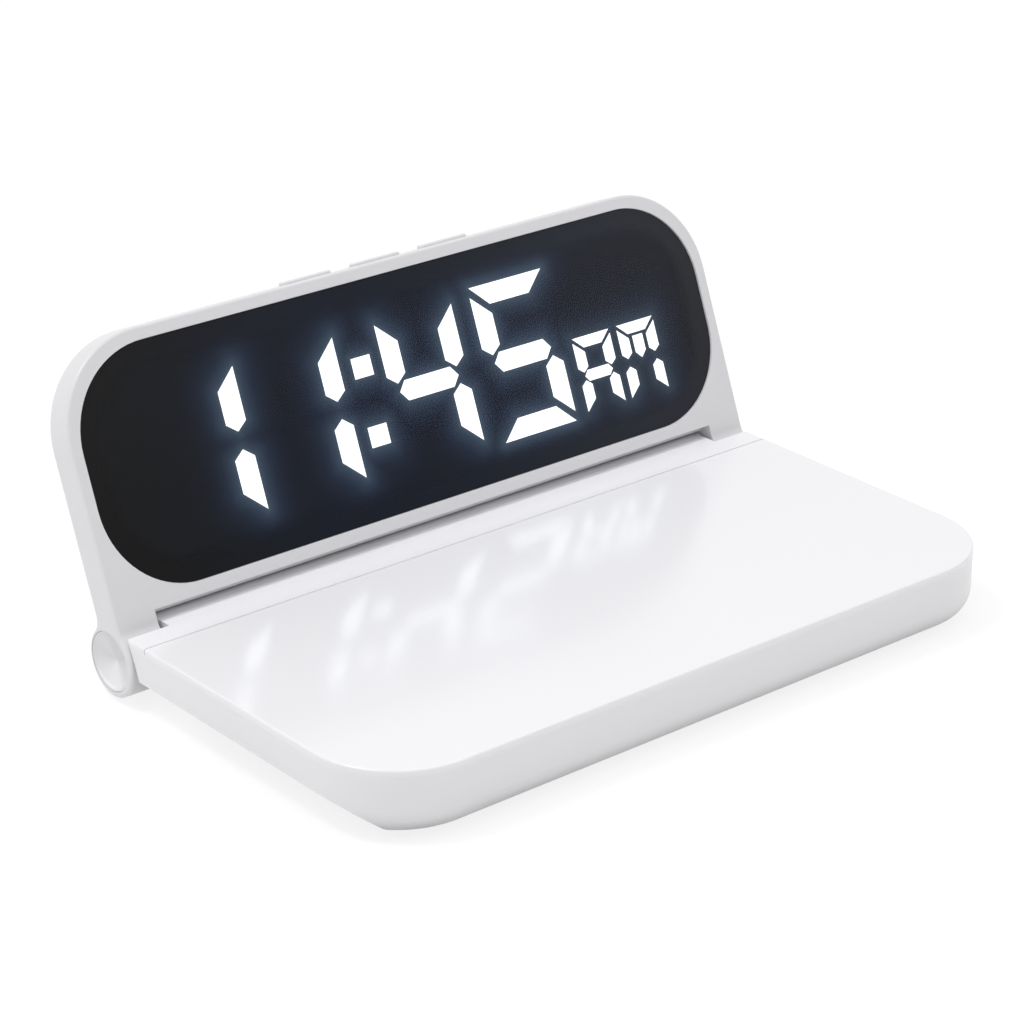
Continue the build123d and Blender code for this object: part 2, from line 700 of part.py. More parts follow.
# Rear cover: inlaid back wall with two hooks at the top, two screws and sound holes
with BuildPart() as rear_cover:
    with BuildSketch(panel_face.offset(panel_back)):
        offset(cavity_plan.sketch, amount=rear_margin - slip)
    extrude(amount=rear_thickness)
    chamfer(rear_cover.faces().sort_by(panel_out)[0].edges(), rear_bevel)
    with BuildSketch(panel_face.offset(rear_inner - rear_tab_thickness)):
        with Locations((-rear_tab_x, cavity_top), (rear_tab_x, cavity_top)):
            Rectangle(rear_tab_width, rear_margin + rear_tab_reach, align=(Align.CENTER, Align.MIN))
    extrude(amount=rear_tab_thickness)
    with BuildSketch(panel_face.offset(panel_back)):
        with Locations((-rear_screw_x, rear_screw_up), (rear_screw_x, rear_screw_up)):
            Circle(rear_screw_head_radius + slip)
    extrude(amount=rear_screw_head, mode=Mode.SUBTRACT)
    with BuildSketch(panel_face.offset(panel_back)):
        with Locations((-rear_screw_x, rear_screw_up), (rear_screw_x, rear_screw_up)):
            Circle(rear_screw_radius + slip)
        with Locations((alarm_disc_x, alarm_disc_up)):
            Circle(sound_hole_radius)
            with PolarLocations(sound_hole_pitch, 6):
                Circle(sound_hole_radius)
    extrude(amount=rear_thickness, mode=Mode.SUBTRACT)
rear_cover.part.label = "rear_cover"
export_step(rear_cover.part, "parts/rear_cover.step")

# Screws of the rear cover
with BuildPart() as rear_screws:
    with BuildSketch(panel_face.offset(panel_back)):
        with Locations((-rear_screw_x, rear_screw_up), (rear_screw_x, rear_screw_up)):
            Circle(rear_screw_head_radius)
    extrude(amount=rear_screw_head)
    with BuildSketch(panel_face.offset(panel_back)):
        with Locations((-rear_screw_x, rear_screw_up), (rear_screw_x, rear_screw_up)):
            Circle(rear_screw_radius)
    extrude(amount=rear_screw_length)
rear_screws.part.label = "rear_screws"
export_step(rear_screws.part, "parts/rear_screws.step")

# Smoked lens, a little below the frame's face
with BuildPart() as display_lens:
    with BuildSketch(panel_face.offset(lens_seat)):
        with Locations((0, lens_middle)):
            RectangleRounded(lens_width, lens_height, lens_corner)
    extrude(amount=lens_thickness)
display_lens.part.label = "display_lens"
export_step(display_lens.part, "parts/display_lens.step")


def bar_outlines(width, height, upright, level, gap):
    """Outlines of the seven bars of a figure, from its lower left corner."""
    middle = height / 2
    tip = 0.9 * gap
    shoulder = tip + 0.38 * upright
    top = [
        (0.15 * gap, height),
        (width - 0.15 * gap, height),
        (width - upright, height - level),
        (upright, height - level),
    ]
    upper = [
        (0, height - gap),
        (upright, height - gap - level),
        (upright, middle + shoulder),
        (upright / 2, middle + tip),
        (0, middle + shoulder),
    ]
    slope = 0.4 * level
    cross = [
        (upright / 2, middle),
        (upright / 2 + slope, middle + level / 2),
        (width - upright / 2 - slope, middle + level / 2),
        (width - upright / 2, middle),
        (width - upright / 2 - slope, middle - level / 2),
        (upright / 2 + slope, middle - level / 2),
    ]
    lower = [(x, height - y) for x, y in upper]
    return {
        "a": top,
        "b": [(width - x, y) for x, y in upper],
        "c": [(width - x, y) for x, y in lower],
        "d": [(x, height - y) for x, y in top],
        "e": lower,
        "f": upper,
        "g": cross,
    }


# Bars that are lit at a quarter to twelve, and the bars of the same figures that stay dark
figure_bars = bar_outlines(figure_width, figure_height, figure_upright, figure_level, figure_gap)
letter_bars = bar_outlines(letter_width, letter_height, letter_upright, letter_level, letter_gap)
lit_outlines = []
dark_outlines = []
for right_edge, lit in zip(figure_right_edges, ("bc", "bc", "bcfg", "acdfg")):
    for name, outline in figure_bars.items():
        placed = [(x + right_edge - figure_width, y + figure_bottom) for x, y in outline]
        (lit_outlines if name in lit else dark_outlines).append(placed)
for left_edge, lit in zip(letter_left_edges, ("abcefg", "abcef")):
    for name, outline in letter_bars.items():
        if name in lit:
            lit_outlines.append([(x + left_edge, y + letter_bottom) for x, y in outline])
stroke_x = letter_left_edges[1] + letter_width / 2
stroke_top = letter_bottom + letter_height - letter_stroke_drop
lit_outlines.append([
    (stroke_x - letter_stroke_width / 2, stroke_top),
    (stroke_x + letter_stroke_width / 2, stroke_top),
    (stroke_x + letter_stroke_width / 2, stroke_top - letter_stroke_length + letter_stroke_width / 2),
    (stroke_x, stroke_top - letter_stroke_length),
    (stroke_x - letter_stroke_width / 2, stroke_top - letter_stroke_length + letter_stroke_width / 2),
])
for rise in (-colon_rise, colon_rise):
    middle = figure_bottom + figure_height / 2 + rise
    lit_outlines.append([
        (colon_x + dx * colon_width / 2, middle + dy * colon_height / 2)
        for dx, dy in ((-1, -1), (1, -1), (1, 1), (-1, 1))
    ])

# Reflector: dark plate with a well for every bar
with BuildPart() as light_reflector:
    with BuildSketch(panel_face.offset(led_board_front)):
        with Locations((0, lens_middle)):
            RectangleRounded(
                lens_width - 2 * lens_ledge - 2 * slip,
                lens_height - 2 * lens_ledge - 2 * slip,
                lens_corner - lens_ledge - slip,
            )
        for outline in lit_outlines + dark_outlines:
            Polygon(*outline, align=None, mode=Mode.SUBTRACT)
    extrude(amount=reflector_thickness)
light_reflector.part.label = "light_reflector"
export_step(light_reflector.part, "parts/light_reflector.step")

# Light bars in the wells
with BuildPart() as lit_bars:
    with BuildSketch(panel_face.offset(reflector_front + bar_stand)):
        for outline in lit_outlines:
            Polygon(*outline, align=None)
    extrude(amount=-bar_thickness)
lit_bars.part.label = "lit_bars"
export_step(lit_bars.part, "parts/lit_bars.step")

with BuildPart() as dark_bars:
    with BuildSketch(panel_face.offset(reflector_front + bar_stand)):
        for outline in dark_outlines:
            Polygon(*outline, align=None)
    extrude(amount=-bar_thickness)
dark_bars.part.label = "dark_bars"
export_step(dark_bars.part, "parts/dark_bars.step")

# Light board behind the reflector, cut away under the keys and round the screw bosses
with BuildPart() as led_board:
    with BuildSketch(panel_face.offset(led_board_back)):
        offset(cavity_plan.sketch, amount=-slip)
        with Locations((-rear_screw_x, rear_screw_up), (rear_screw_x, rear_screw_up)):
            Circle(rear_boss_radius + slip, mode=Mode.SUBTRACT)
        with Locations((0, cavity_top)):
            Rectangle(
                2 * key_pitch + key_flange_length + 2 * key_travel + 2 * slip,
                2 * (key_float + key_flange + key_travel + slip),
                mode=Mode.SUBTRACT,
            )
    extrude(amount=led_board_thickness)
led_board.part.label = "led_board"
export_step(led_board.part, "parts/led_board.step")

# One light under the middle of every bar
with BuildPart() as bar_lights:
    with BuildSketch(panel_face.offset(led_board_front)):
        for outline in lit_outlines + dark_outlines:
            xs = [x for x, y in outline]
            ys = [y for x, y in outline]
            with Locations(((min(xs) + max(xs)) / 2, (min(ys) + max(ys)) / 2)):
                Rectangle(led_length, led_width)
    extrude(amount=led_height)
bar_lights.part.label = "bar_lights"
export_step(bar_lights.part, "parts/bar_lights.step")

# Clock chip, driver, crystal and resistors on the back of the light board
with BuildPart() as clock_chips:
    with BuildSketch(panel_face.offset(led_board_back)):
        with Locations((clock_chip_x, lens_middle)):
            Rectangle(clock_chip_length, clock_chip_width)
        with Locations((clock_chip_x - 2 * clock_chip_length, lens_middle)):
            Rectangle(driver_chip_length, driver_chip_width)
        with Locations((clock_chip_x, lens_middle - 1.5 * clock_chip_width)):
            Rectangle(crystal_length, crystal_width)
        resistor_x = clock_chip_x - 1.1 * clock_chip_length
        with Locations(*[(resistor_x, lens_middle + 3 * i * resistor_width) for i in (-1, 0, 1)]):
            Rectangle(resistor_length, resistor_width)
    extrude(amount=-clock_chip_height)
clock_chips.part.label = "clock_chips"
export_step(clock_chips.part, "parts/clock_chips.step")

# Alarm sounder stuck inside the rear cover
with BuildPart() as alarm_disc:
    with BuildSketch(panel_face.offset(rear_inner)):
        with Locations((alarm_disc_x, alarm_disc_up)):
            Circle(alarm_disc_radius)
    extrude(amount=alarm_disc_thickness)
alarm_disc.part.label = "alarm_disc"
export_step(alarm_disc.part, "parts/alarm_disc.step")

# Switches under the keys, on the back of the light board
with BuildPart() as key_switches:
    with BuildSketch(panel_face.offset(led_board_back)):
        with Locations(*[(x, switch_up) for x in key_places]):
            Rectangle(switch_length, switch_height, align=(Align.CENTER, Align.MIN))
    extrude(amount=-switch_depth)
    with BuildSketch(key_level(switch_up + switch_height)):
        with Locations(*[(x, switch_depth / 2 - led_board_back) for x in key_places]):
            Rectangle(plunger_length, plunger_width)
    extrude(amount=plunger_height)
key_switches.part.label = "key_switches"
export_step(key_switches.part, "parts/key_switches.step")

# Three keys: cap through the top edge, flange inside, stem over the switch
stem_depth = led_board_back - switch_depth / 2
flange_top = cavity_top - key_float
stem_low = switch_up + switch_height + plunger_height + plunger_gap + key_travel
for name, x in zip(("key_left", "key_middle", "key_right"), key_places):
    with BuildPart() as key:
        with BuildSketch(key_level(flange_top)):
            with Locations((x, -key_middle_depth)):
                RectangleRounded(key_length, key_width, key_corner)
        extrude(amount=panel_top + key_stand - flange_top)
        chamfer(key.faces().sort_by(panel_up)[-1].edges(), key_bevel)
        with BuildSketch(key_level(flange_top - key_flange)):
            with Locations((x, -key_middle_depth)):
                Rectangle(key_flange_length, key_flange_width)
        extrude(amount=key_flange)
        with BuildSketch(key_level(stem_low)):
            with Locations((x, -stem_depth)):
                Rectangle(stem_length, stem_width)
        extrude(amount=flange_top - key_flange - stem_low)
    key.part.label = name
    export_step(key.part, "parts/" + name + ".step")

# Hinge pins, fast in the ears
with BuildPart() as hinge_pins:
    for side in (-1, 1):
        with BuildSketch(hinge_end(side, pin_end)):
            Circle(pin_head_radius)
        extrude(amount=-pin_head)
        with BuildSketch(hinge_end(side, pin_end)):
            Circle(pin_radius)
        extrude(amount=-pin_length)
        with BuildSketch(hinge_end(side, pin_end)):
            Circle(pin_bore_radius)
        extrude(amount=-pin_length, mode=Mode.SUBTRACT)
hinge_pins.part.label = "hinge_pins"
export_step(hinge_pins.part, "parts/hinge_pins.step")

# Split sleeves in the knuckle that grip the pins
with BuildPart() as friction_sleeves:
    for side in (-1, 1):
        with BuildSketch(hinge_end(side, knuckle_half)):
            Circle(sleeve_radius)
            Circle(pin_radius + pin_fit, mode=Mode.SUBTRACT)
            with Locations((sleeve_radius, 0)):
                Rectangle(2 * (sleeve_radius - pin_radius) + slip, sleeve_slot, mode=Mode.SUBTRACT)
        extrude(amount=-sleeve_length)
friction_sleeves.part.label = "friction_sleeves"
export_step(friction_sleeves.part, "parts/friction_sleeves.step")

# Washers between knuckle and ears
with BuildPart() as hinge_washers:
    for side in (-1, 1):
        with BuildSketch(hinge_end(side, knuckle_half)):
            Circle(washer_radius)
            Circle(pin_radius + slip, mode=Mode.SUBTRACT)
        extrude(amount=hinge_gap - slip)
hinge_washers.part.label = "hinge_washers"
export_step(hinge_washers.part, "parts/hinge_washers.step")

# Dished caps over the ends of the hinge
cap_face = half_panel - cap_sink
with BuildPart() as hinge_caps:
    with BuildSketch(Plane(origin=(0, axis_y, axis_z), x_dir=(1, 0, 0), z_dir=(0, -1, 0))):
        with BuildLine():
            Polyline(
                (half_panel - cap_seat, 0),
                (half_panel - cap_seat, cap_radius - slip),
                (cap_face, cap_radius - slip),
                (cap_face, cap_radius - cap_rim),
                (cap_face - cap_wall, cap_radius - 1.5 * cap_rim),
                (cap_face - cap_dish, cap_dimple_radius),
                (cap_face - cap_dish - cap_dimple_radius / 4, 0),
                close=True,
            )
        make_face()
    revolve(axis=hinge_axis)
    mirror(about=Plane.YZ)
hinge_caps.part.label = "hinge_caps"
export_step(hinge_caps.part, "parts/hinge_caps.step")

# Lead in the base: from the main board through the beam to the end of the right hinge pin
lead_start = (lead_x, inlet_y + board_width / 2 - board_hole_inset, board_top + lead_radius)
with BuildPart() as base_lead:
    with BuildLine():
        FilletPolyline(
            lead_start,
            (lead_x, inlet_y + board_width / 2 + lead_radius, board_top + lead_radius),
            (lead_x, beam_front - lead_bend, axis_z),
            (lead_x, axis_y, axis_z),
            (pin_end - pin_length - slip, axis_y, axis_z),
            radius=lead_bend,
        )
    with BuildSketch(Plane(origin=lead_start, x_dir=(1, 0, 0), z_dir=(0, 1, 0))):
        Circle(lead_radius)
    sweep()
base_lead.part.label = "base_lead"
export_step(base_lead.part, "parts/base_lead.step")

# Lead in the panel: through the hollow pin, up inside the ear and onto the light board
with BuildPart() as display_lead:
    with BuildLine():
        FilletPolyline(
            panel_face.from_local_coords(Vector(pin_end - pin_length + slip, 0, 0)),
            panel_face.from_local_coords(Vector(lead_panel_x, 0, 0)),
            panel_face.from_local_coords(Vector(lead_panel_x, lead_knee, lead_depth)),
            panel_face.from_local_coords(Vector(lead_panel_x, lead_panel_up, lead_depth)),
            panel_face.from_local_coords(Vector(lead_panel_x_end, lead_panel_up, lead_depth)),
            radius=lead_bend,
        )
    with BuildSketch(hinge_end(1, pin_end - pin_length + slip)):
        Circle(lead_radius)
    sweep()
display_lead.part.label = "display_lead"
export_step(display_lead.part, "parts/display_lead.step")

# Two wires from the coil to the main board
with BuildPart() as coil_wires:
    for turn in (-0.5, 0.5):
        y = inlet_y - board_width / 4 + turn * coil_wire_pitch
        x = (coil_radius**2 - (abs(y - plate_middle) - coil_wire_radius) ** 2) ** 0.5
        with BuildLine():
            FilletPolyline(
                (x, y, z_deck - coil_wire_radius),
                (ferrite_radius + lead_bend, y, z_deck - coil_wire_radius),
                (ferrite_radius + lead_bend, y, board_top + coil_wire_radius),
                (board_right - board_length + 2 * board_corner, y, board_top + coil_wire_radius),
                radius=lead_bend,
            )
        with BuildSketch(Plane(origin=(x, y, z_deck - coil_wire_radius), x_dir=(0, 1, 0), z_dir=(1, 0, 0))):
            Circle(coil_wire_radius)
        sweep()
coil_wires.part.label = "coil_wires"
export_step(coil_wires.part, "parts/coil_wires.step")
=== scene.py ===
import json
from math import cos, pi, radians, sin

import bpy
from mathutils import Matrix, Vector


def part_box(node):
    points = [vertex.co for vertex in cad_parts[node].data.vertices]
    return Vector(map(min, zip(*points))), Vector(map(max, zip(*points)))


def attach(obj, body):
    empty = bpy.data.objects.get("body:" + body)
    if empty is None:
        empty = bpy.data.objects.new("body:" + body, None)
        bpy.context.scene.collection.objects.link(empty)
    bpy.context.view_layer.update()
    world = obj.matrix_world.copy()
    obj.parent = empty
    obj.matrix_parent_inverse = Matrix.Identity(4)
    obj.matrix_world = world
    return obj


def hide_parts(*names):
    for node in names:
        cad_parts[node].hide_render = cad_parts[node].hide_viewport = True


# Finishes, trim pieces, camera and light of a folding wireless charging clock, with lengths in metres

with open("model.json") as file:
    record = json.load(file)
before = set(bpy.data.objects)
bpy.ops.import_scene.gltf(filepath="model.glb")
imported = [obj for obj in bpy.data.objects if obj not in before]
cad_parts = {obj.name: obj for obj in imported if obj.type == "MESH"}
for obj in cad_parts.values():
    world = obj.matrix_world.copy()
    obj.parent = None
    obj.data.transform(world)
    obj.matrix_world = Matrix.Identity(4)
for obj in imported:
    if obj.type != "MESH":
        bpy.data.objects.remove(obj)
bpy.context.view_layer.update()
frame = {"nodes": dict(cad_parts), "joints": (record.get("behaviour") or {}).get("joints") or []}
node = frame["nodes"]

# The leaning panel: across is X, up runs along its face, out points away from its face
HINGE = Vector(frame["joints"][0]["pos_m"])
LEAN = radians(21.7)
PANEL_TURN = pi / 2 - LEAN
PANEL_UP = Vector((0, sin(LEAN), cos(LEAN)))
PANEL_OUT = Vector((0, -cos(LEAN), sin(LEAN)))


def panel_span(name, axis):
    """Lowest and highest reach of a node along one of the panel's own directions."""
    reach = [(corner.co - HINGE).dot(axis) for corner in node[name].data.vertices]
    return min(reach), max(reach)


LENS_LOW, LENS_HIGH = panel_span("display_lens", PANEL_UP)
LENS_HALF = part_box("display_lens")[1].x
LENS_HALF_HEIGHT = (LENS_HIGH - LENS_LOW) / 2
LENS_MIDDLE = (LENS_LOW + LENS_HIGH) / 2
LENS_CORNER = 0.0182
LEDGE = 0.0015
BAR_FRONT = panel_span("lit_bars", PANEL_OUT)[1]

# Grain and gloss of the finishes
UNIT = (0.0, 1.0)
NOISE_MIDDLE = 0.5
WIPE_TURN = radians(24)
WIPE_STRETCH = (1, 7, 4)
STREAK_SPAN = (0.35, 0.75)
METAL_DRIFT = (0.88, 1.08)
GRAIN_DEPTH = 0.00003
SCRATCH_DEPTH = 0.00002
CAP_SLOPE = 0.65
RING_PITCH = 0.00022
RING_DEPTH = 0.000006
BOARD_PATCH = (1.3, 1.3, 1.2)
BOARD_TRACK = (1.9, 1.8, 1.4)

# The lens, the lit figures and their halo, which has a reach and a strength for red, green and blue
LENS_SHINE = 0.15
LENS_COVER = 0.42
INK_SPAN = (LEDGE + 0.0008, LEDGE + 0.0052)
# Painted reflection on the lens, lighter towards its top and right, and painted blue glow round the lit
# figures
SHEEN_UP = (0.22, 0.56)
SHEEN_ACROSS = (-0.2 * LENS_HALF, LENS_HALF)
SHEEN_GREY = (0.0182, 0.0182, 0.0196)
GLOW_BLUE = (0.0005, 0.0037, 0.0136)
FIGURES_MIDDLE = 0.012
FIGURES_FADE = (0.035, 0.085)
BAR_GLOW = 2.44
HALO = ((0.0019, 0.135), (0.0021, 0.205), (0.0026, 0.29))
LETTERS_SPAN = (0.039, 0.043)
LETTERS_GLOW = 0.68
# The film's painted glow: a share of the lens's painted reflection and a faint even base glow
FILM_SHEEN_SHARE = (0.3, 0.3, 0.3)
FILM_BASE_GLOW = (0.0158, 0.0172, 0.0205)
FILM_GLOW = 0.62

# Trim pieces
FILM_SINK = 0.00001
UNLIT_SINK = 0.00003
PIECE_WELD = 0.000002
WALL_WELD = 0.000001
SHARP_EDGE = radians(30)
ARM_TAPER = 0.45
CORNER_SHARE = 0.3
CORNER_STEPS = 3
BEAD_SHORT = 0.0003
BEAD_PLAY = 0.00004
BEAD_HEIGHT = 0.00096
BEAD_SINK = 0.0002
SEAL_HALF = 0.0712
SEAL_RADIUS = 0.0063
SEAL_COLUMNS = 9
SEAL_ROWS = 33
CONTACT_INSET = 0.0022

# Camera, floor and light
CAMERA_AZIMUTH = radians(-39.748)
CAMERA_HEIGHT = radians(23.951)
CAMERA_PLACE = (-0.37499, -0.44337, 0.28452)
CAMERA_LENS = 114.16
CAMERA_SENSOR = 36.0
CAMERA_NEAR = 0.01
FLOOR_REACH = 6.0
FLOOR_CORNER = 0.019
FLOOR_FADE = 0.007
FLOOR_NEAR = 0.12
FLOOR_WHITE = 0.92
FLOOR_SHARE = 0.78
FLOOR_GLOW = 1.06
SKY_SLOPE = (0.08, -0.08, 0.62)
SKY_LEVEL = 0.53
LAMP_DISTANCE = 1.4


# Node helpers
def feed(tree, made, values):
    """Feeds a node's inputs, by name or place, from other sockets or with plain values."""
    for key, value in values.items():
        if isinstance(value, bpy.types.NodeSocket):
            tree.links.new(value, made.inputs[key])
        else:
            made.inputs[key].default_value = value


def add_node(tree, kind, inputs=None, **settings):
    """Adds a node, sets its attributes and feeds its inputs."""
    made = tree.nodes.new(kind)
    for name, value in settings.items():
        setattr(made, name, value)
    feed(tree, made, inputs or {})
    return made


def maths(tree, operation, *given, clamp=False):
    """One maths step, from sockets or plain numbers."""
    made = add_node(tree, "ShaderNodeMath", dict(enumerate(given)), operation=operation, use_clamp=clamp)
    return made.outputs[0]


def vector_maths(tree, operation, *given, scale=None):
    """One vector step, from sockets or plain vectors."""
    made = add_node(tree, "ShaderNodeVectorMath", dict(enumerate(given)), operation=operation)
    if scale is not None:
        feed(tree, made, {"Scale": scale})
    return made.outputs["Value" if operation in ("LENGTH", "DOT_PRODUCT") else "Vector"]


def combine(tree, x=0.0, y=0.0, z=0.0):
    """A vector from sockets or plain numbers."""
    return add_node(tree, "ShaderNodeCombineXYZ", {"X": x, "Y": y, "Z": z}).outputs[0]


def separate(tree, place):
    """The three parts of a vector."""
    return add_node(tree, "ShaderNodeSeparateXYZ", {0: place}).outputs


def ramp(tree, value, span, ends=UNIT, kind="SMOOTHSTEP"):
    """Maps a value from its span to two ends, softly unless told otherwise."""
    given = {"Value": value, "From Min": span[0], "From Max": span[1], "To Min": ends[0], "To Max": ends[1]}
    return add_node(tree, "ShaderNodeMapRange", given, interpolation_type=kind).outputs["Result"]


def noise(tree, place, scale, detail, roughness, distortion=0.0):
    """Cloudy noise."""
    given = {"Vector": place, "Scale": scale, "Detail": detail, "Roughness": roughness}
    given["Distortion"] = distortion
    return add_node(tree, "ShaderNodeTexNoise", given).outputs["Fac"]


def object_place(tree):
    """Where a point lies in the shared frame."""
    return add_node(tree, "ShaderNodeTexCoord").outputs["Object"]


def mapped_place(tree, **values):
    """Where a point lies after scaling, turning and moving."""
    given = {name.title(): value for name, value in values.items()}
    given["Vector"] = object_place(tree)
    return add_node(tree, "ShaderNodeMapping", given).outputs["Vector"]


def socket_kind(value):
    """Kind of socket that fits a starting value, or the kind itself where it is named."""
    if isinstance(value, str):
        return value
    if isinstance(value, (int, float)):
        return "Int" if isinstance(value, int) else "Float"
    return "Color" if len(value) == 4 else "Vector"


def new_tree(kind, name, inputs, outputs):
    """Starts a node tree and gives it with its inputs' sockets and its end."""
    tree = bpy.data.node_groups.new(name, kind)
    for socket, value in inputs.items():
        sort = "NodeSocket" + socket_kind(value)
        made = tree.interface.new_socket(socket, in_out="INPUT", socket_type=sort)
        if not isinstance(value, str):
            made.default_value = value
    for socket, sort in outputs.items():
        tree.interface.new_socket(socket, in_out="OUTPUT", socket_type="NodeSocket" + sort)
    return tree, tree.nodes.new("NodeGroupInput").outputs, tree.nodes.new("NodeGroupOutput")


def add_object(name, data):
    """A new object in the scene."""
    made = bpy.data.objects.new(name, data)
    bpy.context.scene.collection.objects.link(made)
    return made


# Shader groups
def moulded_skin_group():
    """Moulded plastic: faint flow clouds in the colour, an uneven gloss and a fine spark-eroded grain."""
    group, given, out = new_tree(
        "ShaderNodeTree",
        "moulded_skin",
        {
            "Tint": (0.8, 0.8, 0.8, 1),
            "Cloud": 0.02,
            "Gloss": 0.4,
            "Gloss Spread": 0.06,
            "Grain Scale": 2400.0,
        },
        {"Color": "Color", "Roughness": "Float", "Height": "Float"},
    )
    place = object_place(group)
    cloud = noise(group, place, scale=28.0, detail=3.0, roughness=0.55)
    cloud = maths(group, "SUBTRACT", cloud, NOISE_MIDDLE)
    shade = maths(group, "MULTIPLY_ADD", cloud, given["Cloud"], 1.0)
    patch = noise(group, place, scale=75.0, detail=4.0, roughness=0.6)
    patch = maths(group, "SUBTRACT", patch, NOISE_MIDDLE)
    feed(group, out, {
        "Color": vector_maths(group, "SCALE", given["Tint"], scale=shade),
        "Roughness": maths(group, "MULTIPLY_ADD", patch, given["Gloss Spread"], given["Gloss"], clamp=True),
        "Height": noise(group, place, scale=given["Grain Scale"], detail=2.0, roughness=0.6),
    })
    return group


def wipe_marks_group():
    """Long faint wiping streaks, as left by a cloth on a polished face."""
    group, given, out = new_tree(
        "ShaderNodeTree",
        "wipe_marks",
        {"Reach": 12.0, "Low": 0.05, "High": 0.12},
        {"Roughness": "Float"},
    )
    turned = mapped_place(group, rotation=(0, 0, WIPE_TURN), scale=WIPE_STRETCH)
    streak = noise(group, turned, scale=given["Reach"], detail=5.0, roughness=0.62, distortion=0.4)
    mask = ramp(group, streak, STREAK_SPAN)
    feed(group, out, {"Roughness": ramp(group, mask, UNIT, (given["Low"], given["High"]), "LINEAR")})
    return group


def turning_rings_group():
    """Fine rings round the hinge axis, as left on a turned mould insert."""
    group, given, out = new_tree(
        "ShaderNodeTree",
        "turning_rings",
        {"Pitch": RING_PITCH},
        {"Height": "Float", "Radius": "Float"},
    )
    centred = mapped_place(group, location=(0, -HINGE.y, -HINGE.z), scale=(0, 1, 1))
    radius = vector_maths(group, "LENGTH", centred)
    turns = maths(group, "DIVIDE", radius, given["Pitch"])
    feed(group, out, {"Height": maths(group, "PINGPONG", turns, 0.5), "Radius": radius})
    return group


def drawn_metal_group():
    """Plated or drawn metal: directional scratches in the gloss and a little colour drift."""
    group, given, out = new_tree(
        "ShaderNodeTree",
        "drawn_metal",
        {"Tint": (0.6, 0.6, 0.6, 1), "Stretch": (200.0, 2400.0, 2400.0), "Low": 0.2, "High": 0.4},
        {"Color": "Color", "Roughness": "Float", "Height": "Float"},
    )
    pulled = vector_maths(group, "MULTIPLY", object_place(group), given["Stretch"])
    scratch = noise(group, pulled, scale=1.0, detail=3.0, roughness=0.65)
    drift = ramp(group, scratch, UNIT, METAL_DRIFT, "LINEAR")
    feed(group, out, {
        "Color": vector_maths(group, "SCALE", given["Tint"], scale=drift),
        "Roughness": ramp(group, scratch, UNIT, (given["Low"], given["High"]), "LINEAR"),
        "Height": scratch,
    })
    return group


def panel_place_group():
    """Where a point lies on the leaning panel, and how far inside the lens's outline it is."""
    group, given, out = new_tree(
        "ShaderNodeTree",
        "panel_place",
        {"Half Width": 0.078, "Half Height": 0.024, "Middle": 0.034, "Corner": 0.018},
        {"Inside": "Float", "Across": "Float", "Up": "Float"},
    )
    shift = Vector((0, HINGE.dot(PANEL_UP), HINGE.dot(PANEL_OUT)))
    axes = separate(group, mapped_place(group, location=-shift, rotation=(-PANEL_TURN, 0, 0)))
    past = []
    for axis, half, middle in (("X", "Half Width", 0.0), ("Y", "Half Height", given["Middle"])):
        off = maths(group, "ABSOLUTE", maths(group, "SUBTRACT", axes[axis], middle))
        straight = maths(group, "SUBTRACT", given[half], given["Corner"])
        past.append(maths(group, "SUBTRACT", off, straight))
    arc = combine(group, *(maths(group, "MAXIMUM", over, 0.0) for over in past))
    flat = maths(group, "MINIMUM", maths(group, "MAXIMUM", *past), 0.0)
    reach = maths(group, "ADD", vector_maths(group, "LENGTH", arc), flat)
    inside = maths(group, "SUBTRACT", given["Corner"], reach)
    feed(group, out, {"Inside": inside, "Across": axes["X"], "Up": axes["Y"]})
    return group


MOULDED_SKIN = moulded_skin_group()
WIPE_MARKS = wipe_marks_group()
TURNING_RINGS = turning_rings_group()
DRAWN_METAL = drawn_metal_group()
PANEL_PLACE = panel_place_group()


# Materials
def start_material(name):
    """A node material with its tree and its shader."""
    material = bpy.data.materials.new(name)
    material.use_nodes = True
    tree = material.node_tree
    return material, tree, tree.nodes["Principled BSDF"]


def place_group(tree, group, **values):
    """Places a shader group in a material with its own values and gives its results."""
    given = {name.replace("_", " ").title(): value for name, value in values.items()}
    return add_node(tree, "ShaderNodeGroup", given, node_tree=group).outputs


def add_bump(tree, shader, height, strength, depth):
    """Feeds a height into the shader's normal."""
    bump = add_node(tree, "ShaderNodeBump", {"Height": height, "Strength": strength, "Distance": depth})
    feed(tree, shader, {"Normal": bump.outputs["Normal"]})


def moulded_plastic(name, tint, gloss, cloud=0.02, grain_scale=2400.0, grain=0.12, depth=GRAIN_DEPTH):
    """Satin moulded plastic."""
    material, tree, shader = start_material(name)
    look = {"tint": (*tint, 1), "cloud": cloud, "gloss": gloss, "grain_scale": grain_scale}
    skin = place_group(tree, MOULDED_SKIN, **look)
    feed(tree, shader, {"Base Color": skin["Color"], "Roughness": skin["Roughness"]})
    add_bump(tree, shader, skin["Height"], grain, depth)
    return material


def polished_plate(name, tint):
    """Polished white plastic: wiping streaks in the gloss and a very faint ripple."""
    material, tree, shader = start_material(name)
    skin = place_group(tree, MOULDED_SKIN, tint=(*tint, 1), cloud=0.012, grain_scale=160.0)
    marks = place_group(tree, WIPE_MARKS, reach=9.0, low=0.13, high=0.19)
    feed(tree, shader, {"Base Color": skin["Color"], "Roughness": marks["Roughness"]})
    add_bump(tree, shader, skin["Height"], strength=0.05, depth=GRAIN_DEPTH)
    return material


def drawn_metal(name, tint, low, high, stretch):
    """Metal with scratches along its length."""
    material, tree, shader = start_material(name)
    metal = place_group(tree, DRAWN_METAL, tint=(*tint, 1), stretch=stretch, low=low, high=high)
    feed(tree, shader, {"Base Color": metal["Color"], "Roughness": metal["Roughness"], "Metallic": 1.0})
    add_bump(tree, shader, metal["Height"], strength=0.15, depth=SCRATCH_DEPTH)
    return material


